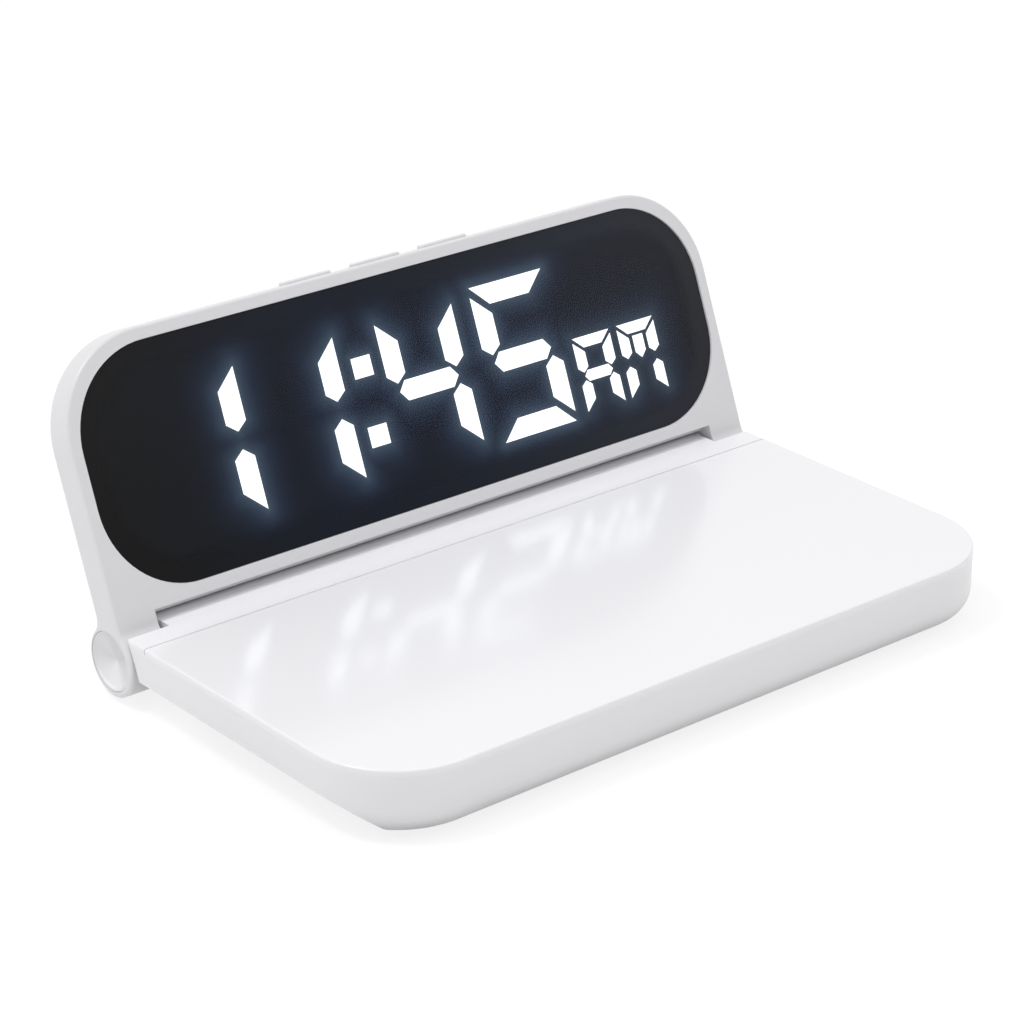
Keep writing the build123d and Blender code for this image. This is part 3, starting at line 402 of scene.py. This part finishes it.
def turned_cap(name, tint):
    """Dished hinge cap: satin white, a shallow cone with fine turning rings."""
    material, tree, shader = start_material(name)
    skin = place_group(
        tree, MOULDED_SKIN, tint=(*tint, 1), cloud=0.015, gloss=0.3, gloss_spread=0.05, grain_scale=1800.0
    )
    rings = place_group(tree, TURNING_RINGS)
    feed(tree, shader, {"Base Color": skin["Color"], "Roughness": skin["Roughness"]})
    cone = maths(tree, "MULTIPLY", rings["Radius"], CAP_SLOPE)
    turned = maths(tree, "MULTIPLY_ADD", rings["Height"], RING_DEPTH, cone)
    add_bump(tree, shader, turned, strength=1.0, depth=1.0)
    return material


def place_on_panel(tree):
    """Places the panel's own coordinates in a material."""
    return place_group(
        tree,
        PANEL_PLACE,
        half_width=LENS_HALF,
        half_height=LENS_HALF_HEIGHT,
        middle=LENS_MIDDLE,
        corner=LENS_CORNER,
    )


def painted_sheen_and_glow(tree, place):
    """Painted reflection and glow on the lens: lighter towards its top and right as painted reflection, and
    bluish around the lit figures as painted glow.
    """
    up = ramp(tree, place["Up"], (LENS_LOW, LENS_HIGH), SHEEN_UP)
    level = maths(tree, "ADD", up, ramp(tree, place["Across"], SHEEN_ACROSS))
    far = maths(tree, "ABSOLUTE", maths(tree, "SUBTRACT", place["Across"], FIGURES_MIDDLE))
    figures = ramp(tree, far, FIGURES_FADE, (1.0, 0.0))
    grey = vector_maths(tree, "SCALE", SHEEN_GREY, scale=level)
    blue = vector_maths(tree, "SCALE", GLOW_BLUE, scale=figures)
    return vector_maths(tree, "ADD", grey, blue)


def smoked_plastic(name):
    """Smoked lens: polished outer face, clear in the middle and inked dark towards its rim; its dark colour
    carries a painted reflection and a painted glow.
    """
    material, tree, shader = start_material(name)
    marks = place_group(tree, WIPE_MARKS, reach=7.0, low=0.02, high=0.05)
    place = place_on_panel(tree)
    cover = ramp(tree, place["Inside"], INK_SPAN, (1.0, LENS_COVER))
    facing = add_node(tree, "ShaderNodeNewGeometry").outputs["Backfacing"]
    feed(tree, shader, {
        # The lens's dark colour with painted reflection and painted glow
        "Base Color": painted_sheen_and_glow(tree, place),
        "Roughness": marks["Roughness"],
        "Specular IOR Level": LENS_SHINE,
        "Alpha": maths(tree, "MULTIPLY", cover, maths(tree, "SUBTRACT", 1.0, facing)),
    })
    material.surface_render_method = "BLENDED"
    return material


def lit_bar(name):
    """Light bar: milky white with a little cloud in its light."""
    material, tree, shader = start_material(name)
    skin = place_group(tree, MOULDED_SKIN, tint=(0.93, 0.97, 1.0, 1), cloud=0.06, grain_scale=900.0)
    feed(tree, shader, {
        "Base Color": (0.6, 0.6, 0.6, 1),
        "Roughness": 0.5,
        "Emission Color": skin["Color"],
        "Emission Strength": BAR_GLOW,
    })
    return material


def glow_film(name):
    """Dark film in front of the reflector that glows with painted light: a blue halo round the lit bars over
    a faint painted reflection and a faint even glow.
    """
    material, tree, shader = start_material(name)
    near = add_node(tree, "ShaderNodeAttribute", attribute_name="bar_distance").outputs["Fac"]
    colours = []
    for reach, strength in HALO:
        fade = maths(tree, "EXPONENT", maths(tree, "DIVIDE", near, -reach))
        colours.append(maths(tree, "MULTIPLY", fade, strength))
    place = place_on_panel(tree)
    small = ramp(tree, place["Across"], LETTERS_SPAN, (1.0, LETTERS_GLOW))
    halo = vector_maths(tree, "SCALE", combine(tree, *colours), scale=small)
    # Painted glow: a share of the lens's painted reflection over a faint even glow
    painted_film_sheen = vector_maths(tree, "MULTIPLY_ADD", painted_sheen_and_glow(tree, place), FILM_SHEEN_SHARE, FILM_BASE_GLOW)
    feed(tree, shader, {
        "Base Color": (0.004, 0.004, 0.005, 1),
        "Roughness": 0.7,
        "Specular IOR Level": 0.1,
        "Emission Color": vector_maths(tree, "ADD", halo, painted_film_sheen),
        "Emission Strength": FILM_GLOW,
    })
    return material


def toned(tint, gains):
    """A tint made lighter or darker in each colour."""
    return (*(part * gain for part, gain in zip(tint, gains)), 1)


def circuit_board(name, tint):
    """Circuit board: solder mask with faint tracks under it."""
    material, tree, shader = start_material(name)
    pattern = {
        "Vector": object_place(tree),
        "Scale": 420.0,
        "Color1": (*tint, 1),
        "Color2": toned(tint, BOARD_PATCH),
        "Mortar": toned(tint, BOARD_TRACK),
        "Mortar Size": 0.03,
    }
    tracks = add_node(tree, "ShaderNodeTexBrick", pattern, offset=0.35).outputs
    skin = place_group(tree, MOULDED_SKIN, gloss=0.32, gloss_spread=0.1, grain_scale=1200.0)
    feed(tree, shader, {"Base Color": tracks["Color"], "Roughness": skin["Roughness"]})
    add_bump(tree, shader, tracks["Fac"], strength=0.2, depth=GRAIN_DEPTH)
    return material


# Finishes of the part
SHELL_WHITE = moulded_plastic("shell_white", (0.865, 0.865, 0.882), gloss=0.3)
# The panel and its rear cover are the shell's white plastic painted darker, as painted shade
PANEL_SHADED_WHITE = moulded_plastic("panel_shaded_white", (0.775, 0.773, 0.795), gloss=0.3)
PLATE_WHITE = polished_plate("plate_white", (0.915, 0.913, 0.94))
CAP_WHITE = turned_cap("cap_white", (0.92, 0.92, 0.935))
KEY_WHITE = moulded_plastic("key_white", (0.83, 0.83, 0.845), gloss=0.34)
SMOKED_LENS = smoked_plastic("smoked_lens")
REFLECTOR_BLACK = moulded_plastic("reflector_black", (0.004, 0.004, 0.005), gloss=0.7)
LIGHT_BAR = lit_bar("light_bar")
DARK_BAR = moulded_plastic("dark_bar", (0.006, 0.006, 0.007), gloss=0.6)
GLOW_FILM = glow_film("glow_film")
FOOT_RUBBER = moulded_plastic(
    "foot_rubber", (0.11, 0.11, 0.115), gloss=0.75, cloud=0.25, grain_scale=1500.0, grain=0.4, depth=0.00008
)
STEEL = drawn_metal("steel", (0.60, 0.60, 0.61), low=0.22, high=0.38, stretch=(300, 2400, 2400))
GOLD_CONTACT = drawn_metal("gold_contact", (0.86, 0.62, 0.26), low=0.18, high=0.3, stretch=(600, 3000, 3000))
BRASS = drawn_metal("brass", (0.75, 0.56, 0.24), low=0.25, high=0.4, stretch=(900, 900, 900))
COPPER = drawn_metal("copper", (0.72, 0.33, 0.17), low=0.3, high=0.45, stretch=(1500, 1500, 300))
FERRITE = moulded_plastic("ferrite", (0.05, 0.05, 0.055), gloss=0.6, cloud=0.3, grain=0.3)
BOARD_GREEN = circuit_board("board_green", (0.012, 0.09, 0.035))
CHIP_BLACK = moulded_plastic("chip_black", (0.02, 0.02, 0.021), gloss=0.5, cloud=0.2, grain=0.3)
WASHER_GREY = moulded_plastic("washer_grey", (0.5, 0.5, 0.51), gloss=0.5)
# Painted shade: the seal's pale grey, a little darker than the shell, stands in for the shade in the gap
# under the panel
SEAL_SHADE_FELT = moulded_plastic(
    "seal_shade_felt", (0.8, 0.8, 0.81), gloss=0.9, cloud=0.3, grain_scale=3600.0, grain=0.6, depth=0.00006
)
LEAD_BLACK = moulded_plastic("lead_black", (0.02, 0.02, 0.02), gloss=0.55, cloud=0.15)

FINISHES = (
    (SHELL_WHITE, ("base_shell", "bottom_cover")),
    (PANEL_SHADED_WHITE, ("display_housing", "rear_cover")),
    (PLATE_WHITE, ("top_plate", "hinge_strip")),
    (CAP_WHITE, ("hinge_caps",)),
    (KEY_WHITE, ("key_left", "key_middle", "key_right")),
    (SMOKED_LENS, ("display_lens",)),
    (REFLECTOR_BLACK, ("light_reflector",)),
    (LIGHT_BAR, ("lit_bars", "bar_lights")),
    (DARK_BAR, ("dark_bars",)),
    (FOOT_RUBBER, ("rubber_feet",)),
    (STEEL, ("base_screws", "board_screws", "rear_screws", "hinge_pins", "friction_sleeves", "inlet_shell")),
    (BRASS, ("alarm_disc",)),
    (COPPER, ("charging_coil", "coil_wires")),
    (FERRITE, ("ferrite_sheet",)),
    (BOARD_GREEN, ("main_board", "led_board")),
    (CHIP_BLACK, ("board_parts", "clock_chips", "key_switches", "inlet_core")),
    (WASHER_GREY, ("hinge_washers",)),
    (LEAD_BLACK, ("base_lead", "display_lead")),
)
for finish, names in FINISHES:
    for name in names:
        node[name].data.materials.clear()
        node[name].data.materials.append(finish)


# Geometry helpers
def new_shape(name, inputs):
    """Starts a geometry tree whose inputs end with its finish."""
    inputs = {**inputs, "Finish": "Material"}
    return new_tree("GeometryNodeTree", name, inputs, {"Geometry": "Geometry"})


def grow(name, tree, values):
    """Runs a geometry tree and keeps its result as a plain mesh object at the origin."""
    holder = add_object(name, bpy.data.meshes.new(name + "_start"))
    modifier = holder.modifiers.new("grow", "NODES")
    modifier.node_group = tree
    for item in tree.interface.items_tree:
        if item.in_out == "INPUT" and item.name in values:
            modifier[item.identifier] = values[item.name]
    bpy.context.view_layer.update()
    shown = holder.evaluated_get(bpy.context.evaluated_depsgraph_get())
    mesh = bpy.data.meshes.new_from_object(shown)
    mesh.name = name
    holder.modifiers.remove(modifier)
    holder.data = mesh
    return holder


def shape(tree, kind, inputs, **settings):
    """Adds a geometry node and gives its first result."""
    return add_node(tree, "GeometryNode" + kind, inputs, **settings).outputs[0]


def end_shape(tree, given, out, built):
    """Ends a geometry tree: real geometry with its finish."""
    real = shape(tree, "RealizeInstances", {"Geometry": built})
    feed(tree, out, {"Geometry": shape(tree, "SetMaterial", {"Geometry": real, "Material": given["Finish"]})})


def point_axes(tree):
    """The three parts of each point's place."""
    return separate(tree, shape(tree, "InputPosition", {}))


def move_points(tree, mesh, x, y, z):
    """Moves each point of a mesh to a new place."""
    return shape(tree, "SetPosition", {"Geometry": mesh, "Position": combine(tree, x, y, z)})


def lean(tree, given, flat):
    """Leans a flat shape like the panel, about the hinge."""
    return shape(tree, "Transform", {
        "Geometry": flat,
        "Translation": given["Hinge"],
        "Rotation": given["Turn"],
    })


def join(tree, *pieces):
    """Joins shapes into one."""
    both = add_node(tree, "GeometryNodeJoinGeometry")
    for piece in pieces:
        feed(tree, both, {"Geometry": piece})
    return both.outputs[0]


def own_mesh(tree, piece):
    """The mesh of another object."""
    return add_node(tree, "GeometryNodeObjectInfo", {"Object": piece}).outputs["Geometry"]


def whole_mesh(tree, piece):
    """The mesh of another object, closed at the edges of its faces."""
    return shape(tree, "MergeByDistance", {"Geometry": own_mesh(tree, piece), "Distance": PIECE_WELD})


def crisp_edges(tree, mesh):
    """Smooth shading that stays sharp at steep edges."""
    smooth = shape(tree, "SetShadeSmooth", {"Geometry": mesh}, domain="FACE")
    angle = add_node(tree, "GeometryNodeInputMeshEdgeAngle").outputs["Unsigned Angle"]
    steep = maths(tree, "GREATER_THAN", angle, SHARP_EDGE)
    sharp = {"Geometry": smooth, "Selection": steep, "Shade Smooth": False}
    return shape(tree, "SetShadeSmooth", sharp, domain="EDGE")


def closed_wall(tree, sheet, thickness):
    """Gives a sheet a thickness and closes its underside."""
    wall = {"Mesh": sheet, "Offset Scale": thickness, "Individual": False}
    raised = shape(tree, "ExtrudeMesh", wall, mode="FACES")
    under = shape(tree, "FlipFaces", {"Mesh": sheet})
    both = {"Geometry": join(tree, raised, under), "Distance": WALL_WELD}
    return crisp_edges(tree, shape(tree, "MergeByDistance", both))


def rounded_prism(tree, width, height, length):
    """A closed prism along Z on a rectangle with rounded corners."""
    outline = shape(tree, "CurvePrimitiveQuadrilateral", {"Width": width, "Height": height})
    radius = maths(tree, "MULTIPLY", maths(tree, "MINIMUM", width, height), CORNER_SHARE)
    corners = {"Curve": outline, "Count": CORNER_STEPS, "Radius": radius}
    rounded = shape(tree, "FilletCurve", corners, mode="POLY")
    return closed_wall(tree, shape(tree, "FillCurve", {"Curve": rounded}, mode="NGONS"), length)


# Trim pieces of the display
def glow_tree():
    """A fine sheet over the reflector that stores each point's distance to the lit bars."""
    tree, given, out = new_shape("bar_glow", {
        "Bars": "Object",
        "Half Width": 0.0766,
        "Half Height": 0.0221,
        "Corner": 0.0167,
        "Cell": 0.0005,
        "Middle": (0, 0.0339, 0.00396),
        "Turn": (PANEL_TURN, 0, 0),
        "Hinge": (0, 0, 0),
    })
    size = {}
    for half, axis in (("Half Width", "X"), ("Half Height", "Y")):
        full = maths(tree, "MULTIPLY", given[half], 2.0)
        cells = maths(tree, "ROUND", maths(tree, "DIVIDE", full, given["Cell"]))
        size["Size " + axis] = full
        size["Vertices " + axis] = maths(tree, "ADD", cells, 1.0)
    axes = point_axes(tree)
    straight = maths(tree, "SUBTRACT", given["Half Height"], given["Corner"])
    past = maths(tree, "SUBTRACT", maths(tree, "ABSOLUTE", axes["Y"]), straight)
    past = maths(tree, "MAXIMUM", past, 0.0)
    square = maths(tree, "MULTIPLY", given["Corner"], given["Corner"])
    left = maths(tree, "SUBTRACT", square, maths(tree, "MULTIPLY", past, past))
    arc = maths(tree, "SQRT", maths(tree, "MAXIMUM", left, 0.0))
    inner = maths(tree, "SUBTRACT", given["Half Width"], given["Corner"])
    share = maths(tree, "DIVIDE", maths(tree, "ADD", inner, arc), given["Half Width"])
    across = maths(tree, "MULTIPLY", axes["X"], share)
    rounded = move_points(tree, shape(tree, "MeshGrid", size), across, axes["Y"], 0.0)
    raised = shape(tree, "Transform", {"Geometry": rounded, "Translation": given["Middle"]})
    bars = {0: own_mesh(tree, given["Bars"])}
    near = add_node(tree, "GeometryNodeProximity", bars, target_element="FACES")
    stored = {
        "Geometry": lean(tree, given, raised),
        "Name": "bar_distance",
        "Value": near.outputs["Distance"],
    }
    kept = shape(tree, "StoreNamedAttribute", stored, data_type="FLOAT", domain="POINT")
    end_shape(tree, given, out, kept)
    return tree


def add_glow_film():
    """The film that carries the halo of the lit bars."""
    film = grow("glow_film", glow_tree(), {
        "Bars": node["lit_bars"],
        "Half Width": LENS_HALF - LEDGE,
        "Half Height": LENS_HALF_HEIGHT - LEDGE,
        "Corner": LENS_CORNER - LEDGE,
        "Middle": (0, LENS_MIDDLE, BAR_FRONT - FILM_SINK),
        "Turn": (PANEL_TURN, 0, 0),
        "Hinge": tuple(HINGE),
        "Finish": GLOW_FILM,
    })
    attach(film, "display")


def sunk_tree():
    """A copy of a node, closed and moved back a little."""
    tree, given, out = new_shape("sunk_behind_film", {"Piece": "Object", "Back": (0, 0, 0)})
    copy = crisp_edges(tree, whole_mesh(tree, given["Piece"]))
    moved = shape(tree, "Transform", {"Geometry": copy, "Translation": given["Back"]})
    end_shape(tree, given, out, moved)
    return tree


def add_unlit_bars():
    """The bars that are dark at this time of day, just behind the film."""
    bars = grow("unlit_bars", sunk_tree(), {
        "Piece": node["dark_bars"],
        "Back": tuple(-UNLIT_SINK * PANEL_OUT),
        "Finish": DARK_BAR,
    })
    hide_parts("dark_bars")
    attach(bars, "display")


def cross_recess_tree():
    """Screws whose heads have a tapered cross cut into them."""
    tree, given, out = new_shape("cross_recess", {
        "Screws": "Object",
        "Arm Length": 0.0019,
        "Arm Width": 0.00042,
        "Depth": 0.0005,
        "First": (-0.0739, 0.0142, -0.00095),
        "Step": (0.1478, 0, 0),
        "Turn": (PANEL_TURN, 0, 0),
        "Hinge": (0, 0, 0),
    })
    through = maths(tree, "MULTIPLY", given["Depth"], 2.0)
    size = combine(tree, given["Arm Length"], given["Arm Width"], through)
    axes = point_axes(tree)
    deep = maths(tree, "GREATER_THAN", axes["Z"], 0.0)
    narrow = maths(tree, "SUBTRACT", 1.0, maths(tree, "MULTIPLY", deep, ARM_TAPER))
    along, across = (maths(tree, "MULTIPLY", axes[axis], narrow) for axis in "XY")
    arm = move_points(tree, shape(tree, "MeshCube", {"Size": size}), along, across, axes["Z"])
    crossing = shape(tree, "Transform", {"Geometry": arm, "Rotation": (0, 0, pi / 2)})
    places = {"Count": 2, "Start Location": given["First"], "Offset": given["Step"]}
    heads = shape(tree, "MeshLine", places, count_mode="TOTAL")
    screws = {"Mesh 1": whole_mesh(tree, given["Screws"])}
    cut = add_node(tree, "GeometryNodeMeshBoolean", screws, operation="DIFFERENCE")
    for cutter in (arm, crossing):
        placed = lean(tree, given, shape(tree, "InstanceOnPoints", {"Points": heads, "Instance": cutter}))
        feed(tree, cut, {"Mesh 2": shape(tree, "RealizeInstances", {"Geometry": placed})})
    end_shape(tree, given, out, crisp_edges(tree, cut.outputs["Mesh"]))
    return tree


def add_rear_screws():
    """Cross-headed screws of the rear cover."""
    low, high = panel_span("rear_screws", PANEL_UP)
    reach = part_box("rear_screws")[1].x - (high - low) / 2
    face = panel_span("rear_screws", PANEL_OUT)[0]
    screws = grow("rear_cross_screws", cross_recess_tree(), {
        "Screws": node["rear_screws"],
        "First": (-reach, (low + high) / 2, face),
        "Step": (2 * reach, 0, 0),
        "Turn": (PANEL_TURN, 0, 0),
        "Hinge": tuple(HINGE),
        "Finish": STEEL,
    })
    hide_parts("rear_screws")
    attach(screws, "display")


# Trim pieces of the base
def seam_tree():
    """A slim bead that fills a straight seam along X."""
    tree, given, out = new_shape("seam_bead", {
        "Length": 0.15,
        "Width": 0.0003,
        "Height": 0.001,
        "Start": (0, 0, 0),
    })
    bead = rounded_prism(tree, given["Width"], given["Height"], given["Length"])
    laid = {"Geometry": bead, "Rotation": (pi / 2, 0, pi / 2), "Translation": given["Start"]}
    end_shape(tree, given, out, shape(tree, "Transform", laid))
    return tree


def add_seam_bead():
    """White bead in the seam between the charging plate and the hinge strip."""
    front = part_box("top_plate")[1]
    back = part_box("hinge_strip")[0]
    half = front.x - BEAD_SHORT
    bead = grow("seam_bead", seam_tree(), {
        "Length": 2 * half,
        "Width": back.y - front.y - BEAD_PLAY,
        "Height": BEAD_HEIGHT,
        "Start": (-half, (front.y + back.y) / 2, front.z - BEAD_SINK - BEAD_HEIGHT / 2),
        "Finish": SHELL_WHITE,
    })
    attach(bead, "base")


def hinge_seal_tree():
    """A thin felt strip bent round the hinge's knuckle."""
    tree, given, out = new_shape("hinge_seal", {
        "Length": 0.14,
        "Radius": 0.0063,
        "Thickness": 0.00016,
        "From": radians(58),
        "To": radians(107),
        "Axis": (0, 0, 0),
    })
    size = {"Size X": given["Length"], "Size Y": 1.0, "Vertices X": SEAL_COLUMNS, "Vertices Y": SEAL_ROWS}
    axes = point_axes(tree)
    sweep = maths(tree, "SUBTRACT", given["To"], given["From"])
    along = maths(tree, "MULTIPLY", maths(tree, "ADD", axes["Y"], 0.5), sweep)
    angle = maths(tree, "SUBTRACT", given["To"], along)
    back, up = (
        maths(tree, "MULTIPLY", maths(tree, turn, angle), given["Radius"]) for turn in ("COSINE", "SINE")
    )
    bent = move_points(tree, shape(tree, "MeshGrid", size), axes["X"], back, up)
    strip = closed_wall(tree, bent, given["Thickness"])
    placed = shape(tree, "Transform", {"Geometry": strip, "Translation": given["Axis"]})
    end_shape(tree, given, out, placed)
    return tree


def add_hinge_seal():
    """Pale grey felt strip on the knuckle, which shows in the gap under the panel; its grey, a little darker
    than the shell's white, is painted shade for that gap.
    """
    seal = grow("hinge_seal", hinge_seal_tree(), {
        "Length": 2 * SEAL_HALF,
        "Radius": SEAL_RADIUS,
        "Axis": tuple(HINGE),
        "Finish": SEAL_SHADE_FELT,
    })
    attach(seal, "base")


def contact_tree():
    """Rows of small contact plates on both faces of the inlet's tongue."""
    tree, given, out = new_shape("contact_rows", {
        "Plate Length": 0.0034,
        "Plate Width": 0.00028,
        "Plate Height": 0.00006,
        "Count": 12,
        "Pitch": 0.0005,
        "Tongue Half": 0.00035,
        "Middle": (0, 0, 0),
    })
    plate = rounded_prism(tree, given["Plate Length"], given["Plate Width"], given["Plate Height"])
    half_pitch = maths(tree, "MULTIPLY", given["Pitch"], 0.5)
    gaps = maths(tree, "SUBTRACT", given["Count"], 1.0)
    begin = maths(tree, "MULTIPLY", maths(tree, "MULTIPLY", half_pitch, gaps), -1.0)
    places = {
        "Count": given["Count"],
        "Start Location": combine(tree, y=begin, z=given["Tongue Half"]),
        "Offset": combine(tree, y=given["Pitch"]),
    }
    row = shape(tree, "MeshLine", places, count_mode="TOTAL")
    upper = shape(tree, "InstanceOnPoints", {"Points": row, "Instance": plate})
    lower = shape(tree, "Transform", {"Geometry": upper, "Rotation": (pi, 0, 0)})
    both = {"Geometry": join(tree, upper, lower), "Translation": given["Middle"]}
    end_shape(tree, given, out, shape(tree, "Transform", both))
    return tree


def add_inlet_contacts():
    """Gold contacts on the power inlet's tongue."""
    low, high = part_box("inlet_core")
    contacts = grow("inlet_contacts", contact_tree(), {
        "Middle": (high.x - CONTACT_INSET, (low.y + high.y) / 2, (low.z + high.z) / 2),
        "Finish": GOLD_CONTACT,
    })
    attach(contacts, "base")


add_glow_film()
add_unlit_bars()
add_rear_screws()
add_inlet_contacts()
add_seam_bead()
add_hinge_seal()


# Camera, floor and light
def photo_camera():
    """Camera at the photograph's viewing angle."""
    sine = sin(CAMERA_AZIMUTH)
    cosine = cos(CAMERA_AZIMUTH)
    right = Vector((cosine, sine, 0))
    back = Vector((sine * cos(CAMERA_HEIGHT), -cosine * cos(CAMERA_HEIGHT), sin(CAMERA_HEIGHT)))
    data = bpy.data.cameras.new("camera")
    data.sensor_width = CAMERA_SENSOR
    data.lens = CAMERA_LENS
    data.clip_start = CAMERA_NEAR
    camera = add_object("camera", data)
    turn = Matrix((right, back.cross(right), back)).transposed()
    camera.matrix_world = Matrix.Translation(CAMERA_PLACE) @ turn.to_4x4()
    bpy.context.scene.camera = camera


def ray_share(tree, path, *kinds):
    """One for rays of the given kinds and nothing for others."""
    share = path[kinds[0]]
    for kind in kinds[1:]:
        share = maths(tree, "ADD", share, path[kind], clamp=True)
    return share


def mix_shaders(tree, share, first, second):
    """Blends two shaders by a share."""
    return add_node(tree, "ShaderNodeMixShader", {"Fac": share, 1: first, 2: second}).outputs["Shader"]


def contact_shade(tree, path):
    """Floor tone: darker close to the base for the light it throws back, plain white for the camera."""
    low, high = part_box("bottom_cover")
    middle = (low + high) / 2
    half = (high - low) / 2
    off = vector_maths(tree, "SUBTRACT", object_place(tree), (middle.x, middle.y, 0))
    off = vector_maths(tree, "ABSOLUTE", off)
    past = vector_maths(tree, "SUBTRACT", off, (half.x - FLOOR_CORNER, half.y - FLOOR_CORNER, 1))
    reach = vector_maths(tree, "LENGTH", vector_maths(tree, "MAXIMUM", past, (0, 0, 0)))
    tone = ramp(tree, reach, (FLOOR_CORNER, FLOOR_CORNER + FLOOR_FADE), (FLOOR_NEAR, FLOOR_WHITE))
    return maths(tree, "MAXIMUM", tone, maths(tree, "MULTIPLY", path["Is Camera Ray"], FLOOR_WHITE))


def pale_floor():
    """Plain white floor that keeps a soft shadow."""
    mesh = bpy.data.meshes.new("floor")
    corners = [(x * FLOOR_REACH, y * FLOOR_REACH, 0) for x, y in ((-1, -1), (1, -1), (1, 1), (-1, 1))]
    mesh.from_pydata(corners, [], [(0, 1, 2, 3)])
    floor = add_object("floor", mesh)
    material, tree, shader = start_material("floor_white")
    path = add_node(tree, "ShaderNodeLightPath").outputs
    tone = contact_shade(tree, path)
    feed(tree, shader, {"Base Color": tone, "Roughness": 0.9, "Specular IOR Level": 0.0})
    seen = ray_share(tree, path, "Is Camera Ray", "Is Glossy Ray")
    share = maths(tree, "MULTIPLY", seen, FLOOR_SHARE)
    white = add_node(tree, "ShaderNodeEmission", {"Strength": FLOOR_GLOW}).outputs["Emission"]
    mixed = mix_shaders(tree, share, shader.outputs["BSDF"], white)
    feed(tree, tree.nodes["Material Output"], {"Surface": mixed})
    mesh.materials.append(material)


def soft_lamp(name, direction, size, energy):
    """One round soft lamp that points at the object from a direction."""
    lamp = bpy.data.lights.new(name, "AREA")
    lamp.shape = "DISK"
    lamp.size = size
    lamp.energy = energy
    aim = Vector(direction).normalized()
    holder = add_object(name, lamp)
    holder.location = LAMP_DISTANCE * aim
    holder.rotation_euler = (-aim).to_track_quat("-Z", "Y").to_euler()


def studio_light():
    """White surroundings, brighter overhead, and one soft lamp high behind on the left."""
    world = bpy.data.worlds.new("studio")
    bpy.context.scene.world = world
    world.use_nodes = True
    tree = world.node_tree
    tree.nodes.clear()
    place = add_node(tree, "ShaderNodeTexCoord").outputs["Generated"]
    level = maths(tree, "ADD", vector_maths(tree, "DOT_PRODUCT", place, SKY_SLOPE), SKY_LEVEL)
    soft, white = (
        add_node(tree, "ShaderNodeBackground", {"Strength": strength}).outputs["Background"]
        for strength in (level, 1.0)
    )
    path = add_node(tree, "ShaderNodeLightPath").outputs
    seen = ray_share(tree, path, "Is Camera Ray", "Is Glossy Ray", "Is Transmission Ray")
    add_node(tree, "ShaderNodeOutputWorld", {"Surface": mix_shaders(tree, seen, soft, white)})
    soft_lamp("high_behind", (-0.35, 0.2, 0.9), size=0.36, energy=6.2)


photo_camera()
pale_floor()
studio_light()
bpy.context.scene.view_settings.view_transform = "Standard"
